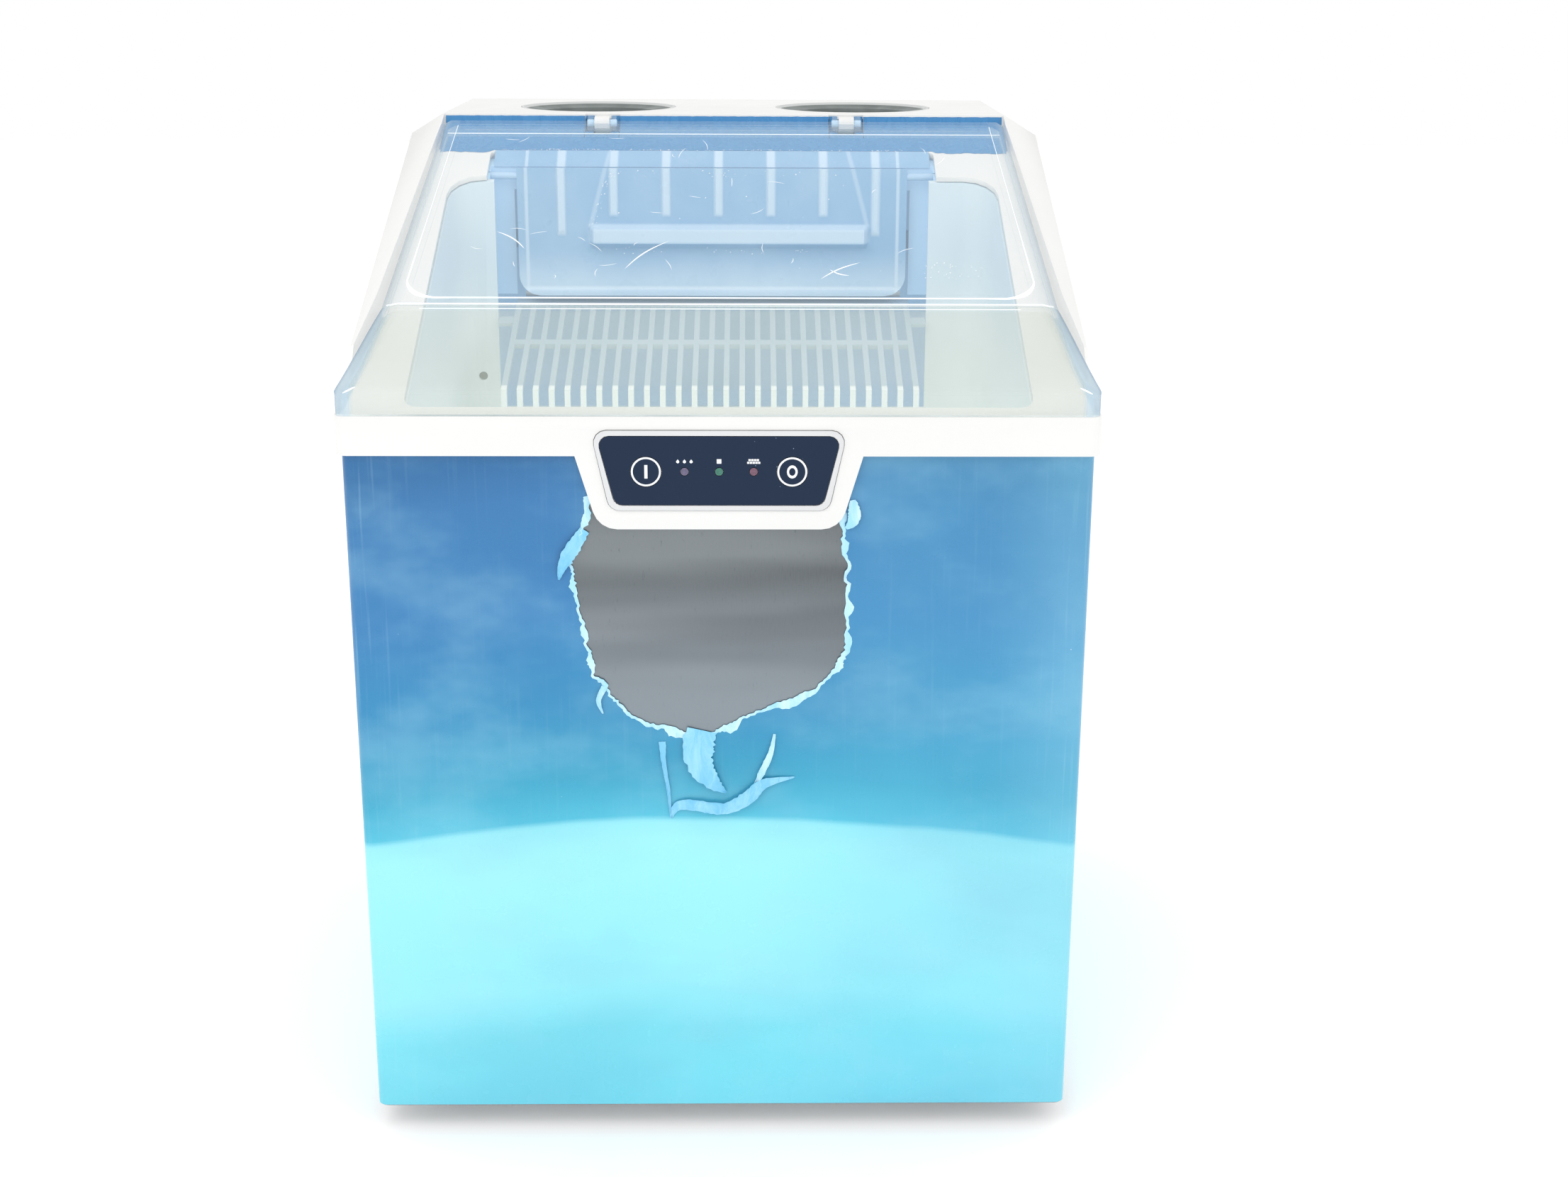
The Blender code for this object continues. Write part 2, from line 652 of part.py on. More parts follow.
def bin_insulation():
    """Foam jacket round the bin, below the chamber and the control board."""
    outside = (176, -193.5, 19, 6)
    inside = (153, -189.6, 12, bin_corners(2))
    rings = [
        plan_ring(*outside, JACKET_BOTTOM),
        plan_ring(*outside, JACKET_TOP),
        plan_ring(*inside, JACKET_TOP),
        plan_ring(*inside, JACKET_BOTTOM),
    ]
    points, faces = loft(rings)
    count = len(rings[0])
    walls = faces[2:]
    last = 3 * count
    walls += [(i, (i + 1) % count, last + (i + 1) % count, last + i) for i in range(count)]
    make("bin_insulation", (points, walls), FOAM)


def ice_chamber():
    """Box round the evaporator; a frame of two posts and a lintel closes its front round the curtain."""
    half, wall, mouth = CHAMBER_HALF, WALL, CHAMBER_FRONT - 5
    shell = block((-half - wall, CHAMBER_FRONT, CHAMBER_BOTTOM), (half + wall, CHAMBER_REAR, CHAMBER_TOP))
    inside = block((-half, mouth, CHAMBER_BOTTOM + wall), (half, CHAMBER_REAR - wall, CHAMBER_TOP - wall))
    slope = [(mouth, seat(mouth) - 3.5), (34, seat(34) - 3.5), (34, 510), (0, 510)]
    holes = [
        rod(2.5, "X", -140, 140, (0, CURTAIN_Y, CURTAIN_PIVOT)),
        rod(4.6, "X", -140, -100, (0, 44, 472)),
        rod(3.0, "Y", 80, 92, (COIL_HALF, 0, COIL_BOTTOM)),
        rod(3.0, "Y", 80, 92, (-COIL_HALF, 0, COIL_TOP)),
        block((-15, 50, 320), (15, 70, 340)),
    ]
    chamber = make("ice_chamber", shell, CURTAIN_BLUE, cut=[inside])
    front, inner, outer = CURTAIN_Y + 5, CURTAIN_HALF + 2, half + 1
    back = front + 1.6
    lintel = [(front, 466), (back, 466), (back, 477), (36, 481.5), (36, 481.9), (front, 481.9)]
    spans = ((-outer, -inner), (inner, outer))
    posts = [block((low, front, CURTAIN_BOTTOM), (high, back, 480)) for low, high in spans]
    combine(chamber, [prism(lintel, "X", -outer, outer)] + posts, "UNION")
    combine(chamber, [prism(slope, "X", -140, 140)] + holes, "DIFFERENCE")


def evaporator():
    low, high, columns, rows = 404.0, 466.0, 8, 3
    body = block((-108, 34, low), (108, 58, high))
    ears = [block((s * 115.5 - 8, 50, 430), (s * 115.5 + 8, 56, 440)) for s in (-1, 1)]
    pitch_x, pitch_z = 26.5, (high - low - 3) / rows
    pockets = []
    for column in range(columns):
        x = (column - (columns - 1) / 2) * pitch_x
        for row in range(rows):
            z = low + 1.5 + pitch_z * (row + 0.5)
            mouth = rectangle(x - 11.5, x + 11.5, z - 8.6, z + 8.6)
            floor = rectangle(x - 9.5, x + 9.5, z - 6.8, z + 6.8)
            pockets.append(loft([[(u, 32, v) for u, v in mouth], [(u, 50, v) for u, v in floor]]))
    make("evaporator", body, ALUMINIUM, add=ears, cut=[together(pockets)])


def evaporator_coil():
    pipe("evaporator_coil", coil_route(), COIL_RADIUS, COPPER, bend=5.5, steps=3)


def coil_route():
    """Three passes across the back of the evaporator; both ends leave through the chamber's rear wall."""
    side, back = COIL_HALF, CHAMBER_REAR + 2.5
    middle = (COIL_BOTTOM + COIL_TOP) / 2
    return [
        (side, back, COIL_BOTTOM),
        (side, COIL_Y, COIL_BOTTOM),
        (-side, COIL_Y, COIL_BOTTOM),
        (-side, COIL_Y, middle),
        (side, COIL_Y, middle),
        (side, COIL_Y, COIL_TOP),
        (-side, COIL_Y, COIL_TOP),
        (-side, back, COIL_TOP),
    ]


def water_distributor():
    nozzles = [rod(1.0, "Z", 466, 470, (x, 44, 0), 6) for x in range(-90, 91, 30)]
    make("water_distributor", rod(4, "X", -101, 101, (0, 44, 472)), WHITE_ABS, cut=[together(nozzles)])


def ice_curtain():
    """Hanging flap with a ledge and ribs; it swings on stubs in the chamber's side walls."""
    y, half = CURTAIN_Y, CURTAIN_HALF
    sheet = prism(rectangle(-half, half, CURTAIN_BOTTOM, CURTAIN_TOP, 10), "Y", y - 1, y + 1)
    ledge = [(y, 446), (y - 8, 442.5), (y - 8, 440), (y, 434)]
    ribs = []
    for number in range(CURTAIN_RIBS):
        x = (number - (CURTAIN_RIBS - 1) / 2) * RIB_PITCH + RIB_SHIFT
        bottom = 441 if number in (0, CURTAIN_RIBS - 1) else 452
        ribs.append(block((x - 2, y - 2.4, bottom), (x + 2, y, 477)))
    stubs = rod(2.0, "X", -CHAMBER_HALF - 2, CHAMBER_HALF + 2, (0, y, CURTAIN_PIVOT))
    add = [prism(ledge, "X", *LEDGE_ENDS), together(ribs), stubs]
    make("ice_curtain", sheet, CURTAIN_BLUE, add=add, pivot=(0, y, CURTAIN_PIVOT))


def slide_grate():
    """Bent sheet of parallel bars that carries the ice forwards into the bin."""
    front, rear = Vector(GRATE_FRONT), Vector(GRATE_REAR)
    run = (rear - front).normalized()
    up = Vector((-run.y, run.x))
    half = (GRATE_BARS - 1) / 2 * GRATE_PITCH + GRATE_BAR / 2
    thick = 3.0

    def on_slope(distance, height):
        return tuple(front + run * distance + up * height)

    length = (rear - front).length
    corner_low = (front.x + thick, front.y - thick * 0.7)
    side_view = [on_slope(0, 0), on_slope(length, 0), on_slope(length, -thick), corner_low]
    side_view += [(front.x + thick, GRATE_FOOT), (front.x, GRATE_FOOT)]
    back_window = [on_slope(54, 5), on_slope(length - 8, 5), on_slope(length - 8, -9), on_slope(54, -9)]
    low_edge = GRATE_FOOT + 4
    front_window = [(front.x - 5, low_edge), (front.x - 5, front.y + 6), on_slope(2, 6), on_slope(49, 6)]
    front_window += [on_slope(49, -9), (front.x + 9, front.y - 7), (front.x + 9, low_edge)]
    slots = []
    for number in range(GRATE_BARS - 1):
        low = -half + GRATE_BAR + number * GRATE_PITCH
        high = low + GRATE_PITCH - GRATE_BAR
        slots += [prism(back_window, "X", low, high), prism(front_window, "X", low, high)]
    lug_side = [on_slope(74, -1), on_slope(82, -1), on_slope(82, -thick), on_slope(74, -thick)]
    lugs = prism(lug_side, "X", -120.5, 120.5)
    make("slide_grate", prism(side_view, "X", -half, half), WHITE_ABS, cut=[together(slots)], add=[lugs])


def ice_full_sensor():
    flange = SENSOR_NOSE + 1.3
    profile = [(0, 7.0), (SENSOR_NOSE, 7.0), (SENSOR_NOSE, 12), (flange, 12), (flange, 22), (0, 22)]
    make("ice_full_sensor", lathe(profile, "Y", (SENSOR_X, 0, SENSOR_Z), SMALL_ROUND), DARK_GREY)


# Water


def water_tank():
    wall = WALL
    rings = [
        plan_ring(TANK_HALF - 3, -182, TANK_REAR - 2, 12, TANK_FLOOR),
        plan_ring(TANK_HALF, -185, TANK_REAR, 14, TANK_TOP),
        plan_ring(TANK_HALF - wall, -185 + wall, TANK_REAR - wall, 12, TANK_TOP),
        plan_ring(TANK_HALF - 3 - wall, -182 + wall, TANK_REAR - 2 - wall, 10, TANK_FLOOR + wall),
    ]
    post = rod(3, "Z", TANK_FLOOR + 1, 102, (*FLOAT, 0), 12)
    outlet = rod(6.0, "Y", 36, 52, (DRAIN[0], 0, DRAIN[1]))
    make("water_tank", loft(rings), HOSE, add=[post], cut=[outlet])


def water_pump():
    centre = (*PUMP, 0)
    profile = [(0, 33.5), (16, 33.5), (16, 62), (13, 66), (13, 86), (6, 88), (0, 88)]
    shell = lathe(profile, "Z", centre, 16)
    chamber = rod(13, "Z", 30, 45, centre, 16)
    make("water_pump", shell, BLACK_PAINT, cut=[chamber])
    vanes = []
    for step in range(16):
        angle = math.tau * step / 16
        radius = 11 if step % 4 == 0 else 4
        vanes.append((PUMP[0] + radius * math.cos(angle), PUMP[1] + radius * math.sin(angle)))
    make("pump_impeller", prism(vanes, "Z", 36, 43.5), WHITE_ABS, pivot=(*PUMP, 40))


def pump_hose():
    x, y = PUMP
    route = [(x, y, 88.5), (x, y, 150), (-146, 34, 190), (-146, 34, 300), (-145, 44, 420)]
    route += [(-145, 44, 472), (ICE_X - 101.5, 44, 472)]
    pipe("pump_hose", route, 3.5, HOSE, bend=12)


def level_float():
    centre = (*FLOAT, 0)
    ring = [(3.8, 46), (12, 46), (13, 48), (13, 60), (12, 62), (3.8, 62)]
    make("float", lathe(ring, "Z", centre, 16), WHITE_ABS, pivot=(*FLOAT, 54))


def drain():
    x, z = DRAIN
    tube = [(4.5, TANK_REAR + GAP), (7, TANK_REAR + GAP), (7, 194), (4.5, 194)]
    make("drain_spout", lathe(tube, "Y", (x, 0, z), 16), WHITE_ABS)
    plug = [(0, 184), (3.9, 184), (3.9, 194.4), (9, 194.4), (9, 197), (0, 197)]
    make("drain_cap", lathe(plug, "Y", (x, 0, z), 16), RUBBER, pivot=(x, 184, z))


# Refrigeration


def compressor():
    x, y = COMPRESSOR
    r = COMPRESSOR_RADIUS
    profile = [(0, 30), (r - 22, 30), (r - 6, 38), (r - 2, 50), (r - 2, 104), (r, 106), (r, 112)]
    profile += [(r - 2, 114), (r - 4, 150), (r - 16, 172), (r - 34, 182), (0, 186)]
    plate = block((x - 62, y - 48, 26.5), (x + 62, y + 48, 31))
    bolt_holes = together([rod(5.3, "Z", 20, 36, (hx, hy, 0)) for hx, hy in mount_places()])
    hollow = [(0, 20), (r - 26, 20), (r - 26, 48), (r - 12, 54), (r - 12, 150), (0, 164)]
    motor_space = lathe(hollow, "Z", (x, y, 0))
    shell = lathe(profile, "Z", (x, y, 0))
    make("compressor", shell, BLACK_PAINT, add=[plate], cut=[motor_space, bolt_holes])
    grommet = [(0, 8.8), (9, 8.8), (9, 26.2), (5, 26.2), (5, 31.3), (8, 31.3), (8, 34), (0, 34)]
    for number, (hx, hy) in enumerate(mount_places(), 1):
        make(f"compressor_mount_{number}", lathe(grommet, "Z", (hx, hy, 0), 12), RUBBER)


def mount_places():
    x, y = COMPRESSOR
    return [(x - 52, y - 38), (x + 52, y - 38), (x - 52, y + 38)]


def condenser():
    low_x, high_x, low_z, high_z = -168.0, -28.0, 62.0, 202.0
    grooves = []
    for number in range(20):
        x = low_x + 4 + number * 6.8
        grooves.append(block((x, 50, low_z + 6), (x + 3.4, 90, high_z - 6)))
    make("condenser", block((low_x, 58, low_z), (high_x, 84, high_z)), ALUMINIUM, cut=[together(grooves)])


def fan():
    x, z = FAN
    low = (x - 70, 92, z - 70)
    high = (x + 70, 94, z + 70)
    hole = rod(FAN_RADIUS + 4, "Y", 90, 96, (x, 0, z), ROUND)
    make("fan_shroud", block(low, high), BLACK_PAINT, cut=[hole])

    profile = [(0, 100), (2.4, 100), (2.4, 120), (20, 120), (22, 124), (22, 152), (18, 158), (0, 158)]
    motor = lathe(profile, "Y", (x, 0, z), 16)
    bar = block((x - 68, 136, z - 6), (x + 68, 140, z + 6))
    legs = [block((x + s * 66 - 2, 94 + GAP, z - 6), (x + s * 66 + 2, 140, z + 6)) for s in (-1, 1)]
    make("fan_motor", motor, GALVANISED, add=[bar] + legs)

    hub = lathe([(2.9, 99), (15, 99), (16, 101), (16, 116), (2.9, 116)], "Y", (x, 0, z), 16)
    blades = [fan_blade(math.tau * n / 5) for n in range(5)]
    make("fan_rotor", hub, ALUMINIUM, add=blades, pivot=(x, 108, z))


def fan_blade(turn):
    """One blade: a thin curved plate that leans along the axis and fans out towards the tip."""
    x, z = FAN
    sections = []
    for radius, spread in ((14, 0.34), (34, 0.36), (FAN_RADIUS, 0.40)):
        section = []
        for side, depth in ((-1, 101), (1, 113), (1, 114.5), (-1, 102.5)):
            angle = turn + side * spread
            section.append((x + radius * math.cos(angle), depth, z + radius * math.sin(angle)))
        sections.append(section)
    return loft(sections)


def refrigerant_lines():
    cx, cy = COMPRESSOR
    drier = [(0, 90), (3, 90), (8.5, 100), (8.5, 165), (3, 178), (0, 178)]
    make("filter_drier", lathe(drier, "Z", (-9, 68, 0), SMALL_ROUND), COPPER)
    x = ICE_X + COIL_HALF
    suction = [(cx, cy, 186.5), (cx, cy, 225), (x, 106, 260)]
    suction += [(x, 106, COIL_BOTTOM), (x, 89.2, COIL_BOTTOM)]
    pipe("suction_line", suction, 3.0, COPPER, bend=8)
    discharge = [(cx - 26, cy, 183.5), (cx - 26, cy, 226), (-48, cy, 226)]
    discharge += [(-48, 71, 226), (-48, 71, 202.5)]
    pipe("discharge_line", discharge, 2.5, COPPER, bend=10)
    capillary = [(-9, 68, 178.5), (-9, 68, 206), (-9, 100, 240), (-78, 100, 300), (-78, 100, 425)]
    pipe("capillary_tube", capillary, 1.2, COPPER, bend=8)
    x = ICE_X - COIL_HALF
    body = block((x - 11, 98, 330), (x + 11, 120, 356))
    coil = rod(13, "Z", 360, 388, (x, 109, 0), 20)
    neck = rod(4, "Z", 350, 366, (x, 109, 0), 12)
    stub = rod(2.5, "Z", 386, COIL_TOP - 8, (x, 109, 0), 12)
    make("hot_gas_valve", body, ALUMINIUM, add=[neck, coil, stub])


# Rear fittings


def rear_fittings():
    inlet = [(5.5, 172), (9, 172), (9, 190), (15, 190), (15, 191.7), (12, 191.7), (12, 199.5), (5.5, 199.5)]
    make("water_inlet", lathe(inlet, "Y", (130, 0, 300), 16), WHITE_ABS)
    body = block((106.5, 175, 46.5), (133.5, 194.5, 65.5))
    flange = block((100, 193.6, 41), (140, 196, 71))
    socket = block((109, 182, 49), (131, 200, 63))
    make("power_inlet", body, BLACK_PAINT, add=[flange], cut=[socket])


def place_ice_unit():
    """Stands the chamber, what it holds, the curtain and the slide grate on one empty, off the middle."""
    carrier = bpy.data.objects.new("ice_unit", None)
    carrier.location.x = ICE_X * MM
    for item in bpy.data.objects:
        if item.name.startswith(ICE_UNIT):
            item.parent = carrier
    bpy.context.scene.collection.objects.link(carrier)


def main():
    for item in list(bpy.data.objects):
        bpy.data.objects.remove(item)
    base_pan()
    feet()
    body_wrap()
    protective_film()
    rear_panel()
    screws()
    top_casing()
    header_panel()
    bottle_wells()
    control_panel()
    lid()
    hinges()
    bin_liner()
    bin_insulation()
    ice_chamber()
    evaporator()
    evaporator_coil()
    water_distributor()
    ice_curtain()
    slide_grate()
    ice_full_sensor()
    water_tank()
    water_pump()
    pump_hose()
    level_float()
    drain()
    compressor()
    condenser()
    fan()
    refrigerant_lines()
    rear_fittings()
    place_ice_unit()


main()
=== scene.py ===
"""Looks of a countertop ice maker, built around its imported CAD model.

Lengths are in millimetres and are scaled to metres where a mesh is made. X runs to the right, Y to the back
and Z up. The protective film, the lid, the ice curtain and the printed marks are modelled here in detail;
every other part keeps its CAD mesh, and gets softened edges and a procedural material.
"""

import json
import math
import random

import bpy
from mathutils import Matrix, Vector, noise


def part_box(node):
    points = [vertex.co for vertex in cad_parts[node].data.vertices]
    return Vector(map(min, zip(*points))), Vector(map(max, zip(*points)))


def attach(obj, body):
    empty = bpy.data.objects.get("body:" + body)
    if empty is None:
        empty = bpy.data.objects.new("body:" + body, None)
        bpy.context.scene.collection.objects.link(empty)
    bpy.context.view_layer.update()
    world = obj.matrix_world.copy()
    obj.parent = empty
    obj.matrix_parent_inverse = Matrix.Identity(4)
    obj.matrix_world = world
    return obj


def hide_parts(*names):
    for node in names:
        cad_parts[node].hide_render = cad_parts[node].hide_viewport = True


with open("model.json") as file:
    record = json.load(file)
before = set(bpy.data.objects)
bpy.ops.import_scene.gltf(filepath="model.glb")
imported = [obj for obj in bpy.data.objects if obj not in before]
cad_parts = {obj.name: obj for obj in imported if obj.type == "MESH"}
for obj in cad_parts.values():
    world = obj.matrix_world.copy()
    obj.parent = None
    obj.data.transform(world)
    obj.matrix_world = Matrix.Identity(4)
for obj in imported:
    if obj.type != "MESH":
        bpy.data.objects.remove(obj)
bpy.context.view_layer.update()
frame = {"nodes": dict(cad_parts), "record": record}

MM = 0.001


def box_mm(name):
    """Lowest and highest corner of a CAD node, in millimetres."""
    low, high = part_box(name)
    return low / MM, high / MM


def add_object(name, data):
    obj = bpy.data.objects.new(name, data)
    bpy.context.scene.collection.objects.link(obj)
    return obj


def mesh_mm(name, points, faces):
    """A mesh of points in millimetres."""
    mesh = bpy.data.meshes.new(name)
    mesh.from_pydata([Vector(p) * MM for p in points], [], faces)
    return mesh


# Camera and studio

CAMERA_PLACE = (0.0146, -1.1617, 0.5895)
CAMERA_YAW = 0.99  # degrees, towards the object's right
CAMERA_PITCH = 16.83  # degrees, downwards
CAMERA_ROLL = 0.29
CAMERA_LENS = 47.56  # mm on a 36 mm sensor

WORLD_STRENGTH = 1.0
FLOOR_HALF = 6.0  # m
FLOOR_GLOW = 0.16


def add_camera():
    data = bpy.data.cameras.new("camera")
    data.lens = CAMERA_LENS
    data.sensor_width = 36.0
    camera = add_object("camera", data)
    turn = Matrix.Rotation(math.radians(-CAMERA_YAW), 4, "Z")
    tilt = Matrix.Rotation(math.radians(90 - CAMERA_PITCH), 4, "X")
    roll = Matrix.Rotation(math.radians(CAMERA_ROLL), 4, "Z")
    camera.matrix_world = Matrix.Translation(CAMERA_PLACE) @ turn @ tilt @ roll
    bpy.context.scene.camera = camera


def add_light(name, place, target, size, power):
    data = bpy.data.lights.new(name, "AREA")
    data.shape = "DISK"
    data.size = size
    data.energy = power
    light = add_object(name, data)
    light.location = place
    light.rotation_mode = "QUATERNION"
    light.rotation_quaternion = (Vector(target) - Vector(place)).to_track_quat("-Z", "Y")


def add_studio():
    scene = bpy.context.scene
    scene.view_settings.view_transform = "Standard"
    world = bpy.data.worlds.new("studio")
    scene.world = world
    world.use_nodes = True
    background = world.node_tree.nodes["Background"]
    background.inputs["Color"].default_value = (1, 1, 1, 1)
    background.inputs["Strength"].default_value = WORLD_STRENGTH
    add_light("key", (-0.9, -1.6, 2.2), (0, 0, 0.3), 1.6, 10)
    add_light("fill", (1.6, -1.2, 1.6), (0, 0, 0.3), 1.6, 4)

    half = FLOOR_HALF
    mesh = bpy.data.meshes.new("floor")
    corners = [(-half, -half, 0), (half, -half, 0), (half, half, 0), (-half, half, 0)]
    mesh.from_pydata(corners, [], [(0, 1, 2, 3)])
    white = "#ffffff"
    paint("floor_paper", white, 0.9, grain=900, grain_depth=0.02, mottling=0.01, glow=(white, FLOOR_GLOW))
    mesh.materials.append(FINISHES["floor_paper"])
    floor = add_object("floor", mesh)


# Material nodes


def linear(code):
    """Linear RGBA of a hex colour."""
    values = [int(code[i : i + 2], 16) / 255 for i in (1, 3, 5)]
    return tuple(v / 12.92 if v <= 0.04045 else ((v + 0.055) / 1.055) ** 2.4 for v in values) + (1.0,)


FINISHES = {}  # every material by its name


class Graph:
    """A material's node tree with short ways to add the nodes used here."""

    def __init__(self, name, roughness, metallic=0.0):
        material = bpy.data.materials.new(name)
        material.use_nodes = True
        FINISHES[name] = material
        self.tree = material.node_tree
        self.shader = self.tree.nodes["Principled BSDF"]
        self.set("Roughness", roughness)
        self.set("Metallic", metallic)
        self.place = self.tree.nodes.new("ShaderNodeTexCoord").outputs["Object"]

    def put(self, socket, value):
        """Links a node's output to a socket, or sets a number, a vector or a hex colour on it."""
        if isinstance(value, bpy.types.NodeSocket):
            self.tree.links.new(value, socket)
        else:
            socket.default_value = linear(value) if isinstance(value, str) else value

    def set(self, socket, value):
        self.put(self.shader.inputs[socket], value)

    def node(self, kind, sockets, **settings):
        """A new node with its settings and its inputs, which are given by number or name."""
        node = self.tree.nodes.new("ShaderNode" + kind)
        for name, value in settings.items():
            setattr(node, name, value)
        for socket, value in sockets.items():
            self.put(node.inputs[socket], value)
        return node

    def math(self, operation, first, second=0.0, clamp=False):
        return self.node("Math", {0: first, 1: second}, operation=operation, use_clamp=clamp).outputs[0]

    def times(self, first, second):
        return self.math("MULTIPLY", first, second)

    def plus(self, first, second, clamp=False):
        return self.math("ADD", first, second, clamp)

    def apart(self, first, second):
        """Distance between two values."""
        return self.math("ABSOLUTE", self.math("SUBTRACT", first, second))

    def axes(self):
        return self.node("SeparateXYZ", {0: self.place}).outputs

    def stretched(self, scale):
        return self.node("VectorMath", {0: self.place, 1: scale}, operation="MULTIPLY").outputs[0]

    def noise(self, scale, detail=2.0, roughness=0.5, stretch=(1, 1, 1), distortion=0.0):
        sockets = {"Scale": scale, "Detail": detail, "Roughness": roughness, "Distortion": distortion}
        return self.node("TexNoise", {"Vector": self.stretched(stretch), **sockets}).outputs["Fac"]

    def cells(self, scale, output="Distance", feature="F1"):
        sockets = {"Vector": self.stretched((1, 1, 1)), "Scale": scale}
        return self.node("TexVoronoi", sockets, feature=feature).outputs[output]

    def between(self, value, low, high, to_low=0.0, to_high=1.0):
        """Maps value from low..high to to_low..to_high, clamped, with a smooth step."""
        sockets = {"Value": value, "From Min": low, "From Max": high, "To Min": to_low, "To Max": to_high}
        return self.node("MapRange", sockets, interpolation_type="SMOOTHSTEP").outputs["Result"]

    def blend(self, share, first, second, kind="MIX"):
        sockets = {0: share, 6: first, 7: second}
        return self.node("Mix", sockets, data_type="RGBA", blend_type=kind).outputs[2]

    def ramp(self, value, stops):
        """Colour ramp through stops of (place, hex colour)."""
        node = self.node("ValToRGB", {0: value})
        elements = node.color_ramp.elements
        while len(elements) < len(stops):
            elements.new(0.5)
        for element, (place, colour) in zip(elements, stops):
            element.position = place
            element.color = linear(colour)
        return node.outputs["Color"]

    def grazing(self):
        """Rises from 0 where the surface faces the view to 1 where it is seen edge-on."""
        return self.math("POWER", self.node("LayerWeight", {"Blend": 0.5}).outputs["Facing"], 3.0)

    def colour(self, value):
        self.set("Base Color", value)

    def rough(self, value):
        self.set("Roughness", value)

    def uneven(self, low, high, *grain):
        """Roughness from low to high in clouds; grain holds the noise's scale, detail and roughness."""
        self.rough(self.between(self.noise(*grain), 0.3, 0.7, low, high))

    def glow(self, colour, strength):
        """A little light of the surface's own."""
        self.set("Emission Color", colour)
        self.set("Emission Strength", strength)

    def bump(self, *layers):
        """Stacks bump layers of (height, strength, depth in millimetres)."""
        normal = None
        for height, strength, depth in layers:
            node = self.node("Bump", {"Height": height, "Strength": strength, "Distance": depth * MM})
            if normal is not None:
                self.put(node.inputs["Normal"], normal)
            normal = node.outputs["Normal"]
        self.set("Normal", normal)


def paint(name, colour, roughness, grain=1500, grain_depth=0.05, mottling=0.04,
          specks=None, coat=0.0, gloss=0.5, glow=None):
    """Moulded plastic, paint or rubber: mottled colour, uneven gloss and a fine grain."""
    g = Graph(name, roughness)
    g.set("Specular IOR Level", gloss)
    cloud = g.noise(9, 3, 0.6)
    shade = g.between(cloud, 0.3, 0.7, 1.0 - mottling, 1.0)
    tone = g.blend(1.0, colour, g.blend(shade, "#000000", "#ffffff"), "MULTIPLY")
    if specks:
        dots = g.between(g.cells(220), 0.03, 0.05, 1.0, 0.0)
        sparse = g.between(g.noise(26, 2), 0.60, 0.66)
        tone = g.blend(g.times(dots, sparse), tone, specks)
    g.colour(tone)
    g.uneven(roughness * 0.85, min(1.0, roughness * 1.2), 40, 4, 0.6)
    g.bump((g.noise(grain, 2), 0.35, grain_depth), (g.noise(60, 2), 0.12, 0.05))
    g.set("Coat Weight", coat)
    if glow:
        g.glow(*glow)


def brushed(name, colour, other, roughness, along=(1, 1, 0.02), bands=0.0, painted_floor_reflection=None):
    """Brushed metal: streaks along one axis; bands adds soft bands and flecks, and the last argument paints a
    paler lower part, a painted reflection of the bright floor.
    """
    g = Graph(name, roughness, metallic=1.0)
    streaks = g.noise(1500, 3, 0.6, stretch=along)
    cloud = g.noise(7, 3, 0.6)
    mixed = g.times(g.plus(g.times(streaks, 0.7), cloud), 0.588)
    tone = g.blend(g.between(mixed, 0.35, 0.65), colour, other)
    if bands:
        wave = g.noise(34, 2, 0.5, stretch=(0.12, 1, 1))
        tone = g.blend(g.between(wave, 0.3, 0.7, 0.0, bands), tone, "#bcc4c8")
        flecks = g.between(g.noise(900, 2, 0.5, stretch=(1, 1, 0.25)), 0.66, 0.76, 0.0, 0.35)
        tone = g.blend(flecks, tone, "#555d62")
    # Painted reflection: paler towards the bottom, where the bright floor is mirrored.
    if painted_floor_reflection:
        tone = g.blend(g.between(g.axes()[2], 0.225, 0.33, 0.55, 0.0), tone, painted_floor_reflection)
    g.colour(tone)
    g.rough(g.between(streaks, 0.3, 0.7, roughness * 0.85, roughness * 1.15))
    g.bump((streaks, 0.15, 0.01))


def spangled(name, colour, other, roughness):
    """Galvanised sheet: crystals of slightly different grey."""
    g = Graph(name, roughness, metallic=1.0)
    crystals = g.cells(140, "Color")
    gray = g.node("RGBToBW", {0: crystals}).outputs[0]
    g.colour(g.blend(gray, colour, other))
    g.rough(g.between(gray, 0.0, 1.0, roughness * 0.8, roughness * 1.2))
    g.bump((g.noise(300, 3), 0.2, 0.03))


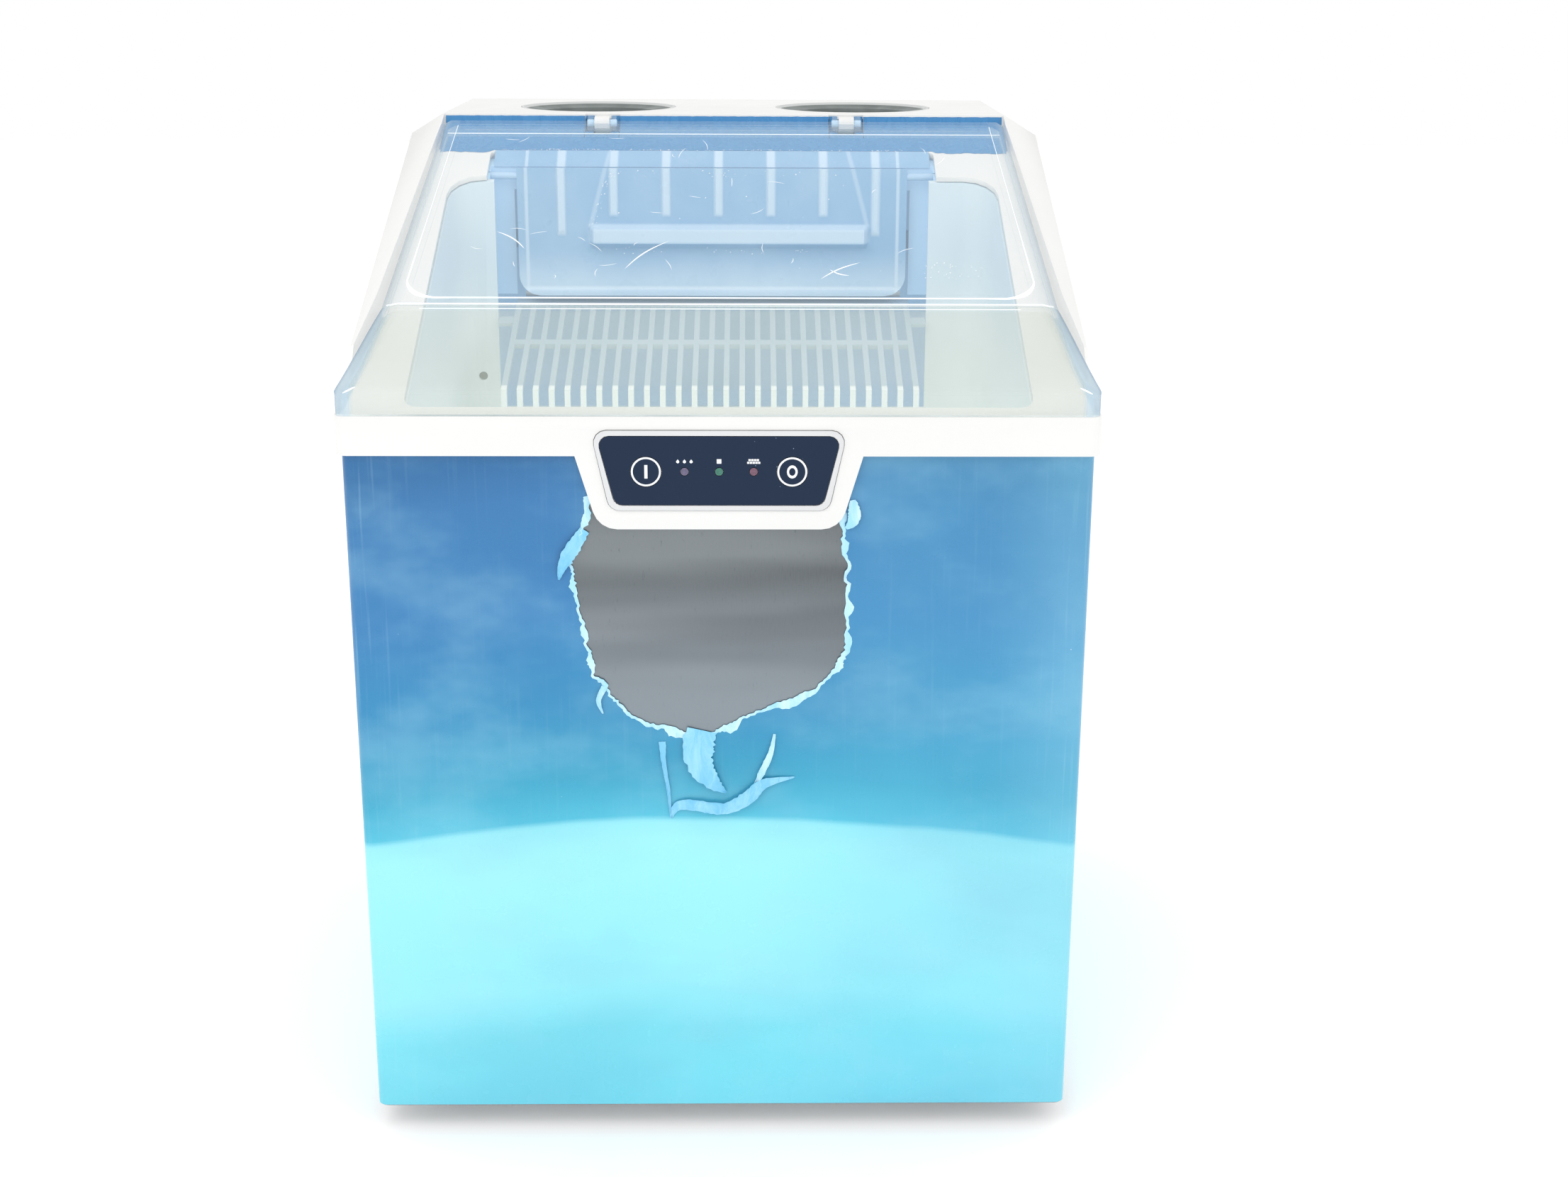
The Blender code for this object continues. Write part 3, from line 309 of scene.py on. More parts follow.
def film(name):
    """Blue protective film over steel, streaked, dotted and glossy: deep blue above, and pale cyan below,
    where the bright floor's reflection is painted in.
    """
    g = Graph(name, 0.22)
    g.set("Specular IOR Level", 0.3)
    x, _, z = g.axes()
    # Painted reflection: the edge of the floor's painted reflection arches and sinks towards the sides.
    sag = g.times(g.times(x, x), FILM_REFLECTION_ARCH)
    height = g.plus(z, sag)
    waver = g.times(g.math("SUBTRACT", g.noise(5, 3, 0.6, stretch=(1, 1, 0.6)), 0.5), 0.010)
    share = g.math("DIVIDE", g.plus(height, waver), FILM_TOP * MM)
    tone = g.ramp(share, [(level / FILM_TOP, colour) for level, colour in FILM_COLOURS_AND_REFLECTION])
    # Paler towards the right side, and more so near the right edge.
    tone = g.blend(g.between(x, 0.0, 0.10, 0.0, 0.22), tone, "#62bcdc")
    tone = g.blend(g.between(x, 0.125, 0.181, 0.0, 0.25), tone, "#8fd0e6")
    cloud = g.between(g.noise(11, 4, 0.6, stretch=(1, 1, 1.6)), 0.42, 0.72, 0.0, 0.22)
    tone = g.blend(cloud, tone, "#9fd6ea")
    shade = g.between(g.noise(9, 3, 0.55, stretch=(0.7, 1, 1.3)), 0.3, 0.6, 0.13, 0.0)
    tone = g.blend(shade, tone, "#2c6a9e")
    streaks = g.between(g.noise(520, 2, 0.5, stretch=(1, 1, 0.03)), 0.54, 0.85)
    near_edge = g.between(g.math("ABSOLUTE", x), 0.15, 0.180, 0.04, 0.16)
    tone = g.blend(g.times(streaks, near_edge), tone, "#b9e6f2")
    dots = g.between(g.cells(95), 0.020, 0.034, 1.0, 0.0)
    sparse = g.between(g.noise(17, 2), 0.56, 0.62)
    tone = g.blend(g.times(dots, sparse), tone, "#e6fbff")
    g.colour(tone)
    g.uneven(0.16, 0.34, 30, 4, 0.6)
    g.bump((g.noise(14, 3, 0.5, stretch=(1, 1, 0.5)), 0.25, 0.8), (g.noise(500, 2), 0.06, 0.05))
    g.set("Coat Weight", 0.12)
    g.set("Coat Roughness", 0.12)


def torn_film(name, colour, other):
    """Loose film, stretched pale where it was torn."""
    g = Graph(name, 0.25)
    creases = g.noise(140, 4, 0.65, stretch=(1, 1, 0.35), distortion=0.6)
    g.colour(g.blend(g.between(creases, 0.3, 0.8, 0.15, 0.85), colour, other))
    g.rough(g.between(creases, 0.3, 0.7, 0.15, 0.4))
    g.bump((creases, 0.35, 0.25))


def clear(name, tint, haze, edge, roughness=0.08):
    """Clear moulded plastic: a milky haze that thickens where the wall is seen edge-on."""
    g = Graph(name, roughness)
    g.colour(g.blend(g.between(g.noise(8, 3, 0.6), 0.3, 0.7), tint, "#f4faf9"))
    fine = g.noise(160, 4, 0.7, stretch=(0.15, 1, 1))
    g.rough(g.between(fine, 0.5, 0.75, roughness, roughness + 0.12))
    g.bump((g.noise(18, 2, 0.5), 0.05, 0.3))
    scuffed = g.plus(haze, g.between(fine, 0.45, 0.8, 0.0, 0.06))
    g.set("Alpha", g.plus(scuffed, g.times(g.grazing(), edge), clamp=True))


def well_plastic(name):
    """Bottle well: pale sloping ring round a dark cup."""
    g = Graph(name, 0.4)
    top = box_mm("bottle_well_left")[1].z
    rim = g.between(g.axes()[2], (top - 1.4) * MM, (top - 0.9) * MM)
    dusty = g.blend(g.between(g.noise(60, 4), 0.3, 0.7), "#5f6866", "#717a78")
    g.colour(g.blend(rim, dusty, "#c9ccca"))
    g.uneven(0.35, 0.55, 90, 3)
    g.bump((g.noise(1400, 2), 0.3, 0.05))


def lid_plastic(name):
    """Clear plastic of the lid: milky below the crease, clearer above, and blue near its edges."""
    g = Graph(name, 0.08)
    x, y, _ = g.axes()
    lines = []
    for (y0, half0), (y1, half1) in zip(LID_STATIONS, LID_STATIONS[1:]):
        slope = (half1 - half0) / (y1 - y0)
        lines.append(g.plus(g.times(y, slope), (half0 - slope * y0) * MM))
    half = g.math("MAXIMUM", *lines)
    side = g.math("SUBTRACT", half, g.math("ABSOLUTE", x))
    lower = g.between(y, -0.1186, -0.1174, 1.0, 0.0)
    flange = g.between(y, -0.190, -0.118, FLANGE[0] * MM, FLANGE[1] * MM)
    band = g.between(g.math("SUBTRACT", side, flange), -0.0012, 0.0012, 1.0, 0.0)
    rim = g.between(side, 0.0008, 0.0024, 1.0, 0.0)
    strength = g.plus(0.45, g.times(lower, 0.55))
    band, rim = g.times(band, strength), g.times(rim, strength)
    border = g.between(side, 0.0086, 0.0094, 1.0, 0.0)
    tone = g.blend(lower, "#c6d6e0", "#bcc6bd")
    tone = g.blend(g.between(g.noise(7, 3, 0.6), 0.35, 0.7, 0.0, 0.5), tone, "#d3dcd8")
    tone = g.blend(g.times(band, 0.8), tone, "#b4cedf")
    g.colour(g.blend(g.times(rim, 0.85), tone, "#8aa2b6"))
    g.rough(g.between(g.noise(40, 3, 0.6), 0.3, 0.75, 0.06, 0.16))
    g.bump((g.noise(16, 2, 0.5), 0.05, 0.3))
    grazing = g.times(g.grazing(), 0.35)
    haze = g.plus(g.times(lower, 0.18), g.plus(0.07, g.times(border, 0.05)))
    haze = g.plus(haze, g.plus(g.times(band, 0.16), g.times(rim, 0.2)))
    g.set("Alpha", g.plus(haze, grazing, clamp=True))


def liner_plastic(name):
    """White plastic of the ice bin: bluish near its mouth, and lighter farther down, where a painted glow
    stands in for light in its shade.
    """
    g = Graph(name, 0.4)
    z = g.axes()[2]
    low = g.between(z, 0.35, 0.44, 1.0, 0.0)
    cloud = g.between(g.noise(9, 3, 0.6), 0.35, 0.7, 0.0, 0.12)
    g.colour(g.blend(cloud, g.blend(low, "#d0e0e9", "#dfe6e4"), "#f0f4f4"))
    # Painted light: a glow, faint near the mouth and strong deep down, lifts the shade in the bin.
    g.glow(g.blend(low, "#4d5358", "#e4e9e4"), 0.2)
    g.uneven(0.35, 0.5, 40, 3)


def grate_plastic(name):
    """Milky plastic of the slide grate, paler where its bars bend down in front: a painted highlight, with a
    painted glow over it all.
    """
    g = Graph(name, 0.4)
    y = g.axes()[1]
    bend = box_mm("slide_grate")[0].y + 3
    front = g.between(y, bend * MM, (bend + 2) * MM, 1.0, 0.0)
    # Painted highlight on the front bend, and a painted glow over the grate that is strongest there.
    g.colour(g.blend(front, "#b4c8d5", "#eef4f2"))
    g.glow(g.blend(front, "#9aaab4", "#f4f8f6"), 0.15)
    g.uneven(0.35, 0.5, 40, 3)


def highlight(name):
    """Painted highlight: white tubes on the lid's edges that stand in for the light they catch, each with a
    little light of its own.
    """
    g = Graph(name, 0.15)
    g.colour(g.blend(g.between(g.noise(30, 3), 0.3, 0.7), "#ffffff", "#f4fbff"))
    g.glow("#ffffff", 0.2)
    g.uneven(0.1, 0.2, 60, 2)


def curtain_plastic(name, colour, raised):
    """Plastic of the ice curtain, with painted highlights that make its ribs, its ledge, its rim, its foot
    and the tray's slanted edges paler.
    """
    g = Graph(name, 0.3)
    x, _, z = g.axes()
    low, high = box_mm("ice_curtain")
    local = g.math("SUBTRACT", x, (low.x + high.x) / 2 * MM)
    turns = g.math("DIVIDE", g.math("SUBTRACT", local, RIB_SHIFT * MM), RIB_PITCH * MM)
    off_rib = g.apart(turns, g.math("ROUND", turns))
    reach = g.math("ABSOLUTE", turns)
    outer = g.between(reach, 2.45, 2.55)
    above = g.between(g.plus(z, g.times(outer, 0.011)), 0.4510, 0.4535)
    rib = g.times(g.between(off_rib, 0.050, 0.110, 0.6, 0.0), g.between(reach, 3.3, 3.4, 1.0, 0.0))
    rib = g.times(rib, above)
    across = g.apart(local, LEDGE_MIDDLE * MM)
    tall = g.between(z, 0.4365, 0.4385)
    low_part = g.between(z, 0.4465, 0.4485, 1.0, 0.0)
    ledge = g.times(g.times(tall, low_part), g.between(across, 0.076, 0.081, 0.6, 0.0))
    lean = g.math("SUBTRACT", 0.0790, g.times(g.math("SUBTRACT", z, 0.443), 0.27))
    edge = g.between(g.apart(across, lean), 0.0004, 0.0020, 0.3, 0.0)
    edge = g.times(edge, g.between(z, 0.443, 0.447))
    rim = g.between(g.apart(g.math("ABSOLUTE", local), 0.1045), 0.0004, 0.0014, 0.5, 0.0)
    foot = g.between(g.apart(z, 0.4115), 0.0004, 0.0014, 0.5, 0.0)
    # Painted highlights: ribs, ledge, tray edges, rim and foot are painted paler, as if they caught the
    # light.
    pale = rib
    for share in (ledge, edge, rim, foot):
        pale = g.math("MAXIMUM", pale, share)
    cloud = g.between(g.noise(22, 3, 0.6), 0.35, 0.75, 0.0, 0.22)
    sunk = g.between(z, 0.410, 0.436, 0.85, 0.0)
    tone = g.blend(g.plus(sunk, cloud, clamp=True), colour, raised)
    g.colour(g.blend(pale, tone, "#e2f1fb"))
    g.uneven(0.25, 0.4, 50, 3)
    g.bump((g.noise(900, 2), 0.2, 0.03), (g.noise(40, 2), 0.15, 0.2))


def board(name):
    """Circuit board: green varnish over darker tracks and tinned pads."""
    g = Graph(name, 0.4)
    tracks = g.between(g.cells(260, feature="DISTANCE_TO_EDGE"), 0.02, 0.05)
    pads = g.between(g.cells(420), 0.12, 0.16, 1.0, 0.0)
    tone = g.blend(tracks, "#0f4a24", "#1d7a3c")
    g.colour(g.blend(g.times(pads, g.between(g.noise(60), 0.5, 0.6)), tone, "#c8c9bd"))
    g.uneven(0.3, 0.5, 200)
    g.bump((tracks, 0.3, 0.05))


def foam(name):
    """Poured insulating foam with small open cells."""
    g = Graph(name, 0.9)
    pores = g.cells(320)
    g.colour(g.blend(g.between(pores, 0.1, 0.6), "#c9a95e", "#ead9a2"))
    g.rough(g.between(pores, 0.1, 0.6, 0.8, 1.0))
    g.bump((pores, 0.6, 0.5))


def lens(name, colour, ring):
    """Lamp lens: a frosted dome, mottled between its colour and a darker one."""
    g = Graph(name, 0.25)
    g.colour(g.blend(g.between(g.noise(900, 3), 0.3, 0.7), colour, ring))
    g.uneven(0.2, 0.35, 700, 2)
    g.bump((g.noise(2500, 2), 0.3, 0.03))


# Measures that both the shapes and the finishes use, in millimetres

LID_STATIONS = ((-200.0, 182.5), (-118.0, 171.0), (49.0, 159.5))  # Y and half-width of the lid
FLANGE = (8.5, 4.0)  # width of the lid's bevelled edge in front and at the crease
RIB_PITCH = 29.5
RIB_SHIFT = 3.5  # the ribs and the ledge stand right of the flap's middle
LEDGE_MIDDLE = 9.5

# The film's colour at each height, pale below where the bright floor's reflection is painted in, and how far
# that painted reflection's bright lower part sinks towards the sides

FILM_TOP = 365.0
FILM_REFLECTION_ARCH = 0.45  # metres of height for each square metre across
FILM_COLOURS_AND_REFLECTION = [
    (0, "#6fd0e4"),
    (60, "#7ad9e8"),
    (85, "#92e4ee"),
    (165, "#9be8f0"),
    (175, "#94e4ee"),
    (178, "#4fbcd6"),
    (200, "#37a1c2"),
    (235, "#318bb9"),
    (290, "#387eb5"),
    (345, "#3675ab"),
    (365, "#2f6a9e"),
]


# Finishes: first those of the material slots, then those of single pieces

paint("white_abs", "#e9e9e7", 0.34, mottling=0.03, coat=0.12)
lid_plastic("clear_lid")
brushed("steel_sheet", "#55595b", "#656a6d", 0.42, along=(1, 1, 0.12), bands=0.26, painted_floor_reflection="#949ea7")
film("blue_film")
paint("pale_grey_plastic", "#d9dadb", 0.3, mottling=0.05)
paint("navy_overlay", "#122640", 0.3, grain=2200, grain_depth=0.02, specks="#9fb4cf", gloss=0.22)
paint("rubber", "#26272a", 0.8, grain=900, grain_depth=0.2, mottling=0.3)
paint("dark_grey_plastic", "#3b4041", 0.5, mottling=0.15)
spangled("galvanised", "#8f9598", "#aab0b3", 0.42)
brushed("copper_pipe", "#b2643c", "#8a4a2e", 0.33, along=(1, 1, 1))
brushed("aluminium", "#c3c6c9", "#d9dbdd", 0.32, along=(0.05, 1, 1))
paint("black_steel", "#17181a", 0.38, grain=700, grain_depth=0.1, mottling=0.2, coat=0.2)
paint("black_plastic", "#1b1c1e", 0.45, mottling=0.2)
foam("foam")
paint("blue_curtain", "#b4d3ee", 0.3, grain=900, grain_depth=0.04, mottling=0.08)
board("circuit_board")
lens("led_lens", "#6d6480", "#5a5470")
clear("clear_hose", "#e9f1f3", haze=0.35, edge=0.5, roughness=0.15)
brushed("pin_steel", "#a9adb0", "#c3c7ca", 0.25, along=(0.02, 1, 1))
well_plastic("well")
lens("led_green", "#3f7f6c", "#33695c")
lens("led_red", "#7a5568", "#66485a")
torn_film("torn_pale", "#8fd6f2", "#dff6fc")
torn_film("torn_blue", "#66bde6", "#a9e2f5")
torn_film("header_film", "#3a84bb", "#4c93c7")
curtain_plastic("curtain", "#8bb6da", "#c5dcee")
# Painted highlight lines on the lid, white and glowing a little.
highlight("highlight")
# Painted shade: darker clear plastic for thin lines under the lid's crease and along its lower front edge.
clear("clear_shade", "#93a5ad", haze=0.5, edge=0.4)
clear("clear_eye", "#dfeaf2", haze=0.12, edge=0.3)
grate_plastic("grate")
liner_plastic("liner")
# Painted light: the chamber, and the hinge pins that share its finish, glow a little to lift the shade under
# the casing.
paint("chamber", "#a9cae4", 0.4, mottling=0.06, glow=("#b2d0e4", 0.25))
paint("print_white", "#f2f4f7", 0.4, mottling=0.05)
paint("scratch_white", "#fbfdfd", 0.4, mottling=0.02)


# Modifiers that every piece gets


def shading_group(degrees):
    """Geometry nodes that shade a mesh smooth and keep edges over this angle sharp."""
    group = bpy.data.node_groups.new("shade_by_angle", "GeometryNodeTree")
    group.interface.new_socket("Geometry", in_out="INPUT", socket_type="NodeSocketGeometry")
    group.interface.new_socket("Geometry", in_out="OUTPUT", socket_type="NodeSocketGeometry")
    nodes, links = group.nodes, group.links
    start, end = nodes.new("NodeGroupInput"), nodes.new("NodeGroupOutput")
    plain = nodes.new("GeometryNodeRemoveAttribute")
    plain.inputs["Name"].default_value = "custom_normal"
    smooth, sharp = nodes.new("GeometryNodeSetShadeSmooth"), nodes.new("GeometryNodeSetShadeSmooth")
    sharp.domain = "EDGE"
    sharp.inputs["Shade Smooth"].default_value = False
    angle = nodes.new("GeometryNodeInputMeshEdgeAngle")
    over = nodes.new("FunctionNodeCompare")
    over.operation = "GREATER_THAN"
    over.inputs[1].default_value = math.radians(degrees)
    links.new(angle.outputs["Unsigned Angle"], over.inputs[0])
    links.new(over.outputs[0], sharp.inputs["Selection"])
    for first, second in ((start, plain), (plain, smooth), (smooth, sharp), (sharp, end)):
        links.new(first.outputs[0], second.inputs[0])
    return group


SHARP_ANGLE = 33  # degrees
SHADING = shading_group(SHARP_ANGLE)


def shade(obj):
    obj.modifiers.new("shading", "NODES").node_group = SHADING


def weld(obj):
    modifier = obj.modifiers.new("weld", "WELD")
    modifier.merge_threshold = 0.00001


def round_edges(obj, width, degrees=30):
    modifier = obj.modifiers.new("round_edges", "BEVEL")
    modifier.width = width * MM
    modifier.segments = 2
    modifier.limit_method = "ANGLE"
    modifier.angle_limit = math.radians(degrees)
    modifier.use_clamp_overlap = True


def round_first(obj, width, degrees=30):
    """Rounds the mesh's edges before its other modifiers."""
    round_edges(obj, width, degrees=degrees)
    obj.modifiers.move(len(obj.modifiers) - 1, 0)


# CAD nodes: width in millimetres to which edges are rounded, and finishes that differ from the slot's

ROUNDING = {
    "top_casing": 0.8,
    "panel_bezel": 0.5,
    "slide_grate": 0.35,
    "bin_liner": 0.8,
    "ice_chamber": 0.6,
    "hinge_bracket_left": 0.4,
    "hinge_bracket_right": 0.4,
    "base_pan": 0.3,
    "rear_panel": 0.15,
    "power_inlet": 0.6,
    "water_tank": 0.8,
    "condenser": 0.3,
    "float": 0.8,
    "header_panel": 0.2,
}
OWN_FINISH = {
    "bottle_well_left": "well",
    "bottle_well_right": "well",
    "led_ice": "led_green",
    "led_ice_full": "led_red",
    "header_panel": "header_film",
    "slide_grate": "grate",
    "bin_liner": "liner",
    "ice_chamber": "chamber",
    # The pins take the chamber's finish, painted glow and all.
    "hinge_pin_left": "chamber",
    "hinge_pin_right": "chamber",
}


def dress_nodes():
    slots = {part["node"]: part["material_slot"] for part in frame["record"]["subparts"]}
    for name, node in frame["nodes"].items():
        finish = FINISHES[OWN_FINISH.get(name, slots[name])]
        node.data.materials.clear()
        node.data.materials.append(finish)
        for polygon in node.data.polygons:
            polygon.material_index = 0
        weld(node)
        if name in ROUNDING:
            round_edges(node, ROUNDING[name])
        shade(node)


# Mesh helpers


def piece(name, points, faces, finish, body, slot, replaces=(), thickness=0.0):
    """A piece made of points in millimetres; a thickness makes a solid of a sheet, behind its front."""
    mesh = mesh_mm(name, points, faces)
    mesh.validate()
    mesh.materials.append(FINISHES[finish])
    obj = add_object(name, mesh)
    if thickness:
        solid = obj.modifiers.new("wall", "SOLIDIFY")
        solid.thickness = thickness * MM
        solid.offset = -1.0
        solid.use_even_offset = True
    shade(obj)
    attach(obj, body)
    if replaces:
        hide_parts(*replaces)
    return obj


def grid_faces(rows, columns):
    """Quads of a grid of points stored row by row."""
    return [
        (r * columns + c, r * columns + c + 1, (r + 1) * columns + c + 1, (r + 1) * columns + c)
        for r in range(rows - 1)
        for c in range(columns - 1)
    ]


def flipped(faces):
    return [tuple(reversed(face)) for face in faces]


def middle_of(points, face):
    return sum((Vector(points[i]) for i in face), Vector()) / len(face)


def prism(outline, place, low, high):
    """Points and faces of an outline of (u, v) swept from low to high; place makes a point of u, v and w."""
    count = len(outline)
    points = [place(u, v, w) for w in (low, high) for u, v in outline]
    faces = [tuple(range(count)), tuple(reversed(range(count, 2 * count)))]
    faces += [(i, i + count, (i + 1) % count + count, (i + 1) % count) for i in range(count)]
    return points, faces


def ease(value, low, high):
    """Smooth step of value from 0 at low to 1 at high."""
    share = min(1.0, max(0.0, (value - low) / (high - low)))
    return share * share * (3 - 2 * share)


def spline(points, steps, closed=False):
    """Points along a Catmull-Rom curve through the given points."""
    points = [Vector(p) for p in points]
    count = len(points)
    ends = (lambda i: points[i % count]) if closed else (lambda i: points[min(max(i, 0), count - 1)])
    curve = []
    for i in range(count if closed else count - 1):
        a, b, c, d = ends(i - 1), ends(i), ends(i + 1), ends(i + 2)
        for step in range(steps):
            t = step / steps
            curve.append(0.5 * ((2 * b) + (c - a) * t + (2 * a - 5 * b + 4 * c - d) * t * t
                                + (3 * b - a - 3 * c + d) * t * t * t))
    if not closed:
        curve.append(points[-1])
    return curve


# Protective film: a sheet round the front and sides, torn open below the control panel

FILM_THICK = 0.25
FILM_CORNER = 5.1  # outer radius of the sheet's two front corners
LOOSE_FILM = 0.12  # thickness of the torn lip and of the film behind the throat
TEAR = [(-63, 344), (-64, 330), (-70, 317), (-71, 307), (-69, 290), (-65, 272), (-62, 257), (-54, 243),
        (-42, 231), (-24, 225), (-8, 222), (6, 228), (20, 235), (40, 242), (54, 253), (61, 266), (62, 290),
        (61, 312), (59, 330), (58, 344)]


def tear_outline(steps=14):
    """The ragged edge of the tear as (x, z), from its upper left round to its upper right."""
    smooth = spline([(x, z, 0) for x, z in TEAR], steps)
    ragged = []
    for i, point in enumerate(smooth):
        before, after = smooth[max(0, i - 1)], smooth[min(len(smooth) - 1, i + 1)]
        run = (after - before).normalized()
        out = Vector((run.y, -run.x, 0))
        coarse = noise.noise(point * 0.16) * 2.2
        fine = noise.noise(point * 0.9 + Vector((0, 0, 7))) * 1.1
        ragged.append(point + out * (coarse + fine))
    return [(p.x, p.y) for p in ragged]


def film_plan(half, front, end, radius, columns):
    """Plan of the film's outer face from the rear left round the front to the rear right."""
    plan = [(-half, end + (front + radius - end) * i / 12) for i in range(12)]
    plan += [
        (-half + radius - radius * math.cos(a), front + radius - radius * math.sin(a))
        for a in (math.pi / 2 * i / 8 for i in range(8))
    ]
    flat = half - radius
    plan += [(-flat + 2 * flat * i / columns, front) for i in range(columns)]
    return plan + [(-x, y) for x, y in reversed(plan[:20])]


def film_sheet():
    low, high = box_mm("protective_film")
    plan = film_plan(high.x, low.y, high.y, FILM_CORNER, 60)
    rows = 44
    points = []
    for r in range(rows):
        z = low.z + (high.z - low.z) * r / (rows - 1)
        for x, y in plan:
            points.append((x, y, z))
    sheet = piece("film_sheet", points, grid_faces(rows, len(plan)), "blue_film", "chassis", "blue_film",
                  ["protective_film"], FILM_THICK)
    cut_tear(sheet, low.y)
    return low.y


def cut_tear(sheet, front):
    """Cuts out the tear, and a window behind the apron for the buttons, and keeps the result as the mesh."""
    outline = tear_outline()
    window = box_mm("button_off")[1].x + 4
    above = FILM_TOP + 2
    outline += [(window, outline[-1][1]), (window, above), (-window, above), (-window, outline[0][1])]
    blade = prism(outline, lambda x, z, y: (x, y, z), front - 3, front + 4)
    tool = add_object("tear", mesh_mm("tear", *blade))
    cut = sheet.modifiers.new("tear", "BOOLEAN")
    cut.operation = "DIFFERENCE"
    cut.object = tool
    while sheet.modifiers[-1].name != "shading":
        sheet.modifiers.move(len(sheet.modifiers) - 1, len(sheet.modifiers) - 2)
    bpy.context.view_layer.update()
    result = bpy.data.meshes.new_from_object(sheet.evaluated_get(bpy.context.evaluated_depsgraph_get()))
    sheet.modifiers.clear()
    sheet.data = result
    shade(sheet)
    bpy.data.objects.remove(tool)


def torn_edge(front):
    """Pale stretched lip round the tear, of uneven width, lifted off the steel here and there."""
    outline = tear_outline()
    points = []
    for i, (x, z) in enumerate(outline):
        x0, z0 = outline[max(0, i - 2)]
        x1, z1 = outline[min(len(outline) - 1, i + 2)]
        run = Vector((x1 - x0, z1 - z0, 0)).normalized()
        out = Vector((run.y, -run.x, 0))
        here = Vector((x, z, 0))
        wide = 0.9 + 4.0 * max(0.0, noise.noise(here * 0.11 + Vector((3, 0, 0))) + 0.12)
        wide += 1.0 * abs(noise.noise(here * 0.7))
        lift = 0.15 + 1.6 * max(0.0, noise.noise(here * 0.09 + Vector((0, 9, 0))))
        for share, height in ((-0.25, 0.35), (0.0, 0.65), (0.3, 0.8), (0.65, 0.45), (1.0, 0.0)):
            p = here + out * (wide * share)
            points.append((p.x, front - 0.04 - lift * height, p.y))
    faces = flipped(grid_faces(len(outline), 5))
    piece("film_torn_edge", points, faces, "torn_pale", "chassis", "blue_film", thickness=LOOSE_FILM)


def flap(name, spine, widths, lifts, front, finish, curl=0.5, segments=10):
    """A loose strip of film along a spine of (x, z), with a width and a lift off the sheet at each point."""
    steps = 8
    line = spline([(x, z, 0) for x, z in spine], steps)
    wide = spline([(w, 0, 0) for w in widths], steps)
    rise = spline([(l, 0, 0) for l in lifts], steps)
    points = []
    for i, here in enumerate(line):
        run = (line[min(len(line) - 1, i + 1)] - line[max(0, i - 1)]).normalized()
        side = Vector((run.y, -run.x, 0))
        for c in range(segments + 1):
            across = c / segments - 0.5
            ripple = 0.25 * noise.noise(Vector((here.x * 0.3, here.y * 0.3, c * 0.7)))
            ragged = 1.0 + 0.25 * noise.noise(Vector((here.x, here.y, 4.0 * across)))
            p = here + side * (wide[i].x * across * ragged)
            lift = rise[i].x * (1 - curl + curl * 4 * across * across) + ripple
            points.append((p.x, front - 0.1 - min(3.2, max(0.05, lift)), p.y))
    faces = grid_faces(len(line), segments + 1)
    piece(name, points, faces, finish, "chassis", "blue_film", thickness=0.1)


def film_flaps(front):
    flap("film_flap_hanging", [(-9, 224), (-11, 214), (-9, 204), (-3, 196), (3, 191)],
         [15, 15, 12, 7, 0.6], [0.4, 1.2, 2.0, 2.2, 1.4], front, "torn_blue")
    flap("film_flap_curl", [(-25, 177), (-21, 184), (-9, 184), (3, 183), (14, 189), (22, 196), (37, 199)],
         [0.8, 5, 6, 6, 7, 5, 0.6], [0.3, 1.2, 2.2, 2.6, 2.4, 1.6, 0.4], front, "torn_blue")
    flap("film_flap_fold", [(27, 222), (25, 212), (21, 203), (17, 194)],
         [1.2, 2.6, 3.2, 1.5], [0.4, 1.5, 2.0, 1.2], front, "torn_pale")
    flap("film_flap_left", [(-29, 218), (-28, 205), (-26, 192), (-25, 177)],
         [3.5, 2.2, 1.6, 0.6], [0.3, 1.0, 1.3, 0.6], front, "torn_blue")
    flap("film_flap_edge", [(-65, 327), (-71, 318), (-76, 309), (-78, 302)],
         [5, 7, 4.5, 0.6], [0.6, 1.6, 1.8, 0.8], front, "torn_blue")
    flap("film_flap_corner", [(64, 342), (65, 336), (64, 331), (61, 328)],
         [3, 6, 5, 1.5], [0.8, 1.6, 1.4, 0.6], front, "torn_pale")
    flap("film_flap_low_left", [(-57, 247), (-60, 240), (-58, 233)],
         [3, 2.4, 0.5], [0.5, 1.3, 0.8], front, "torn_pale")


# Lid: one clear moulding with a crease, a raised window and a flange

LID_WALL = 2.5
LID_CORNER = 6.0
LID_STEPS = (0.0, 0.12, 0.4, 0.9, 1.6, 2.5, 3.6, 5.0, 7.0, 9.7)  # rows round the front corners
LID_COLUMNS = (0.0, 1.3, 2.4, 3.2, 4.0, 5.0, 6.2, 7.4, 8.2, 8.6, 9.0, 9.4, 9.9, 11.0, 13.0, 16.0, 20.0, 25.0)
LID_SHOULDER = (-190.3, 400.4)  # Y and Z of the lid's top face where its front begins to drop
LID_CREASE = (-118.0, 423.0)
LID_REAR = (49.0, 502.0)
LID_STRETCH = 1.106  # length along the window's slope for each unit of Y
WINDOW_SIDE = 9.0  # from the window to the lid's side
WINDOW_LOW = 6.0  # from the window to the crease
WINDOW_REAR = 44.0
WINDOW_CORNER = 16.0
WINDOW_STEP = 1.1
SEAT_LEVEL = 383.4
SEAT_RISE = 0.464
OPENING_FRONT = -186.0


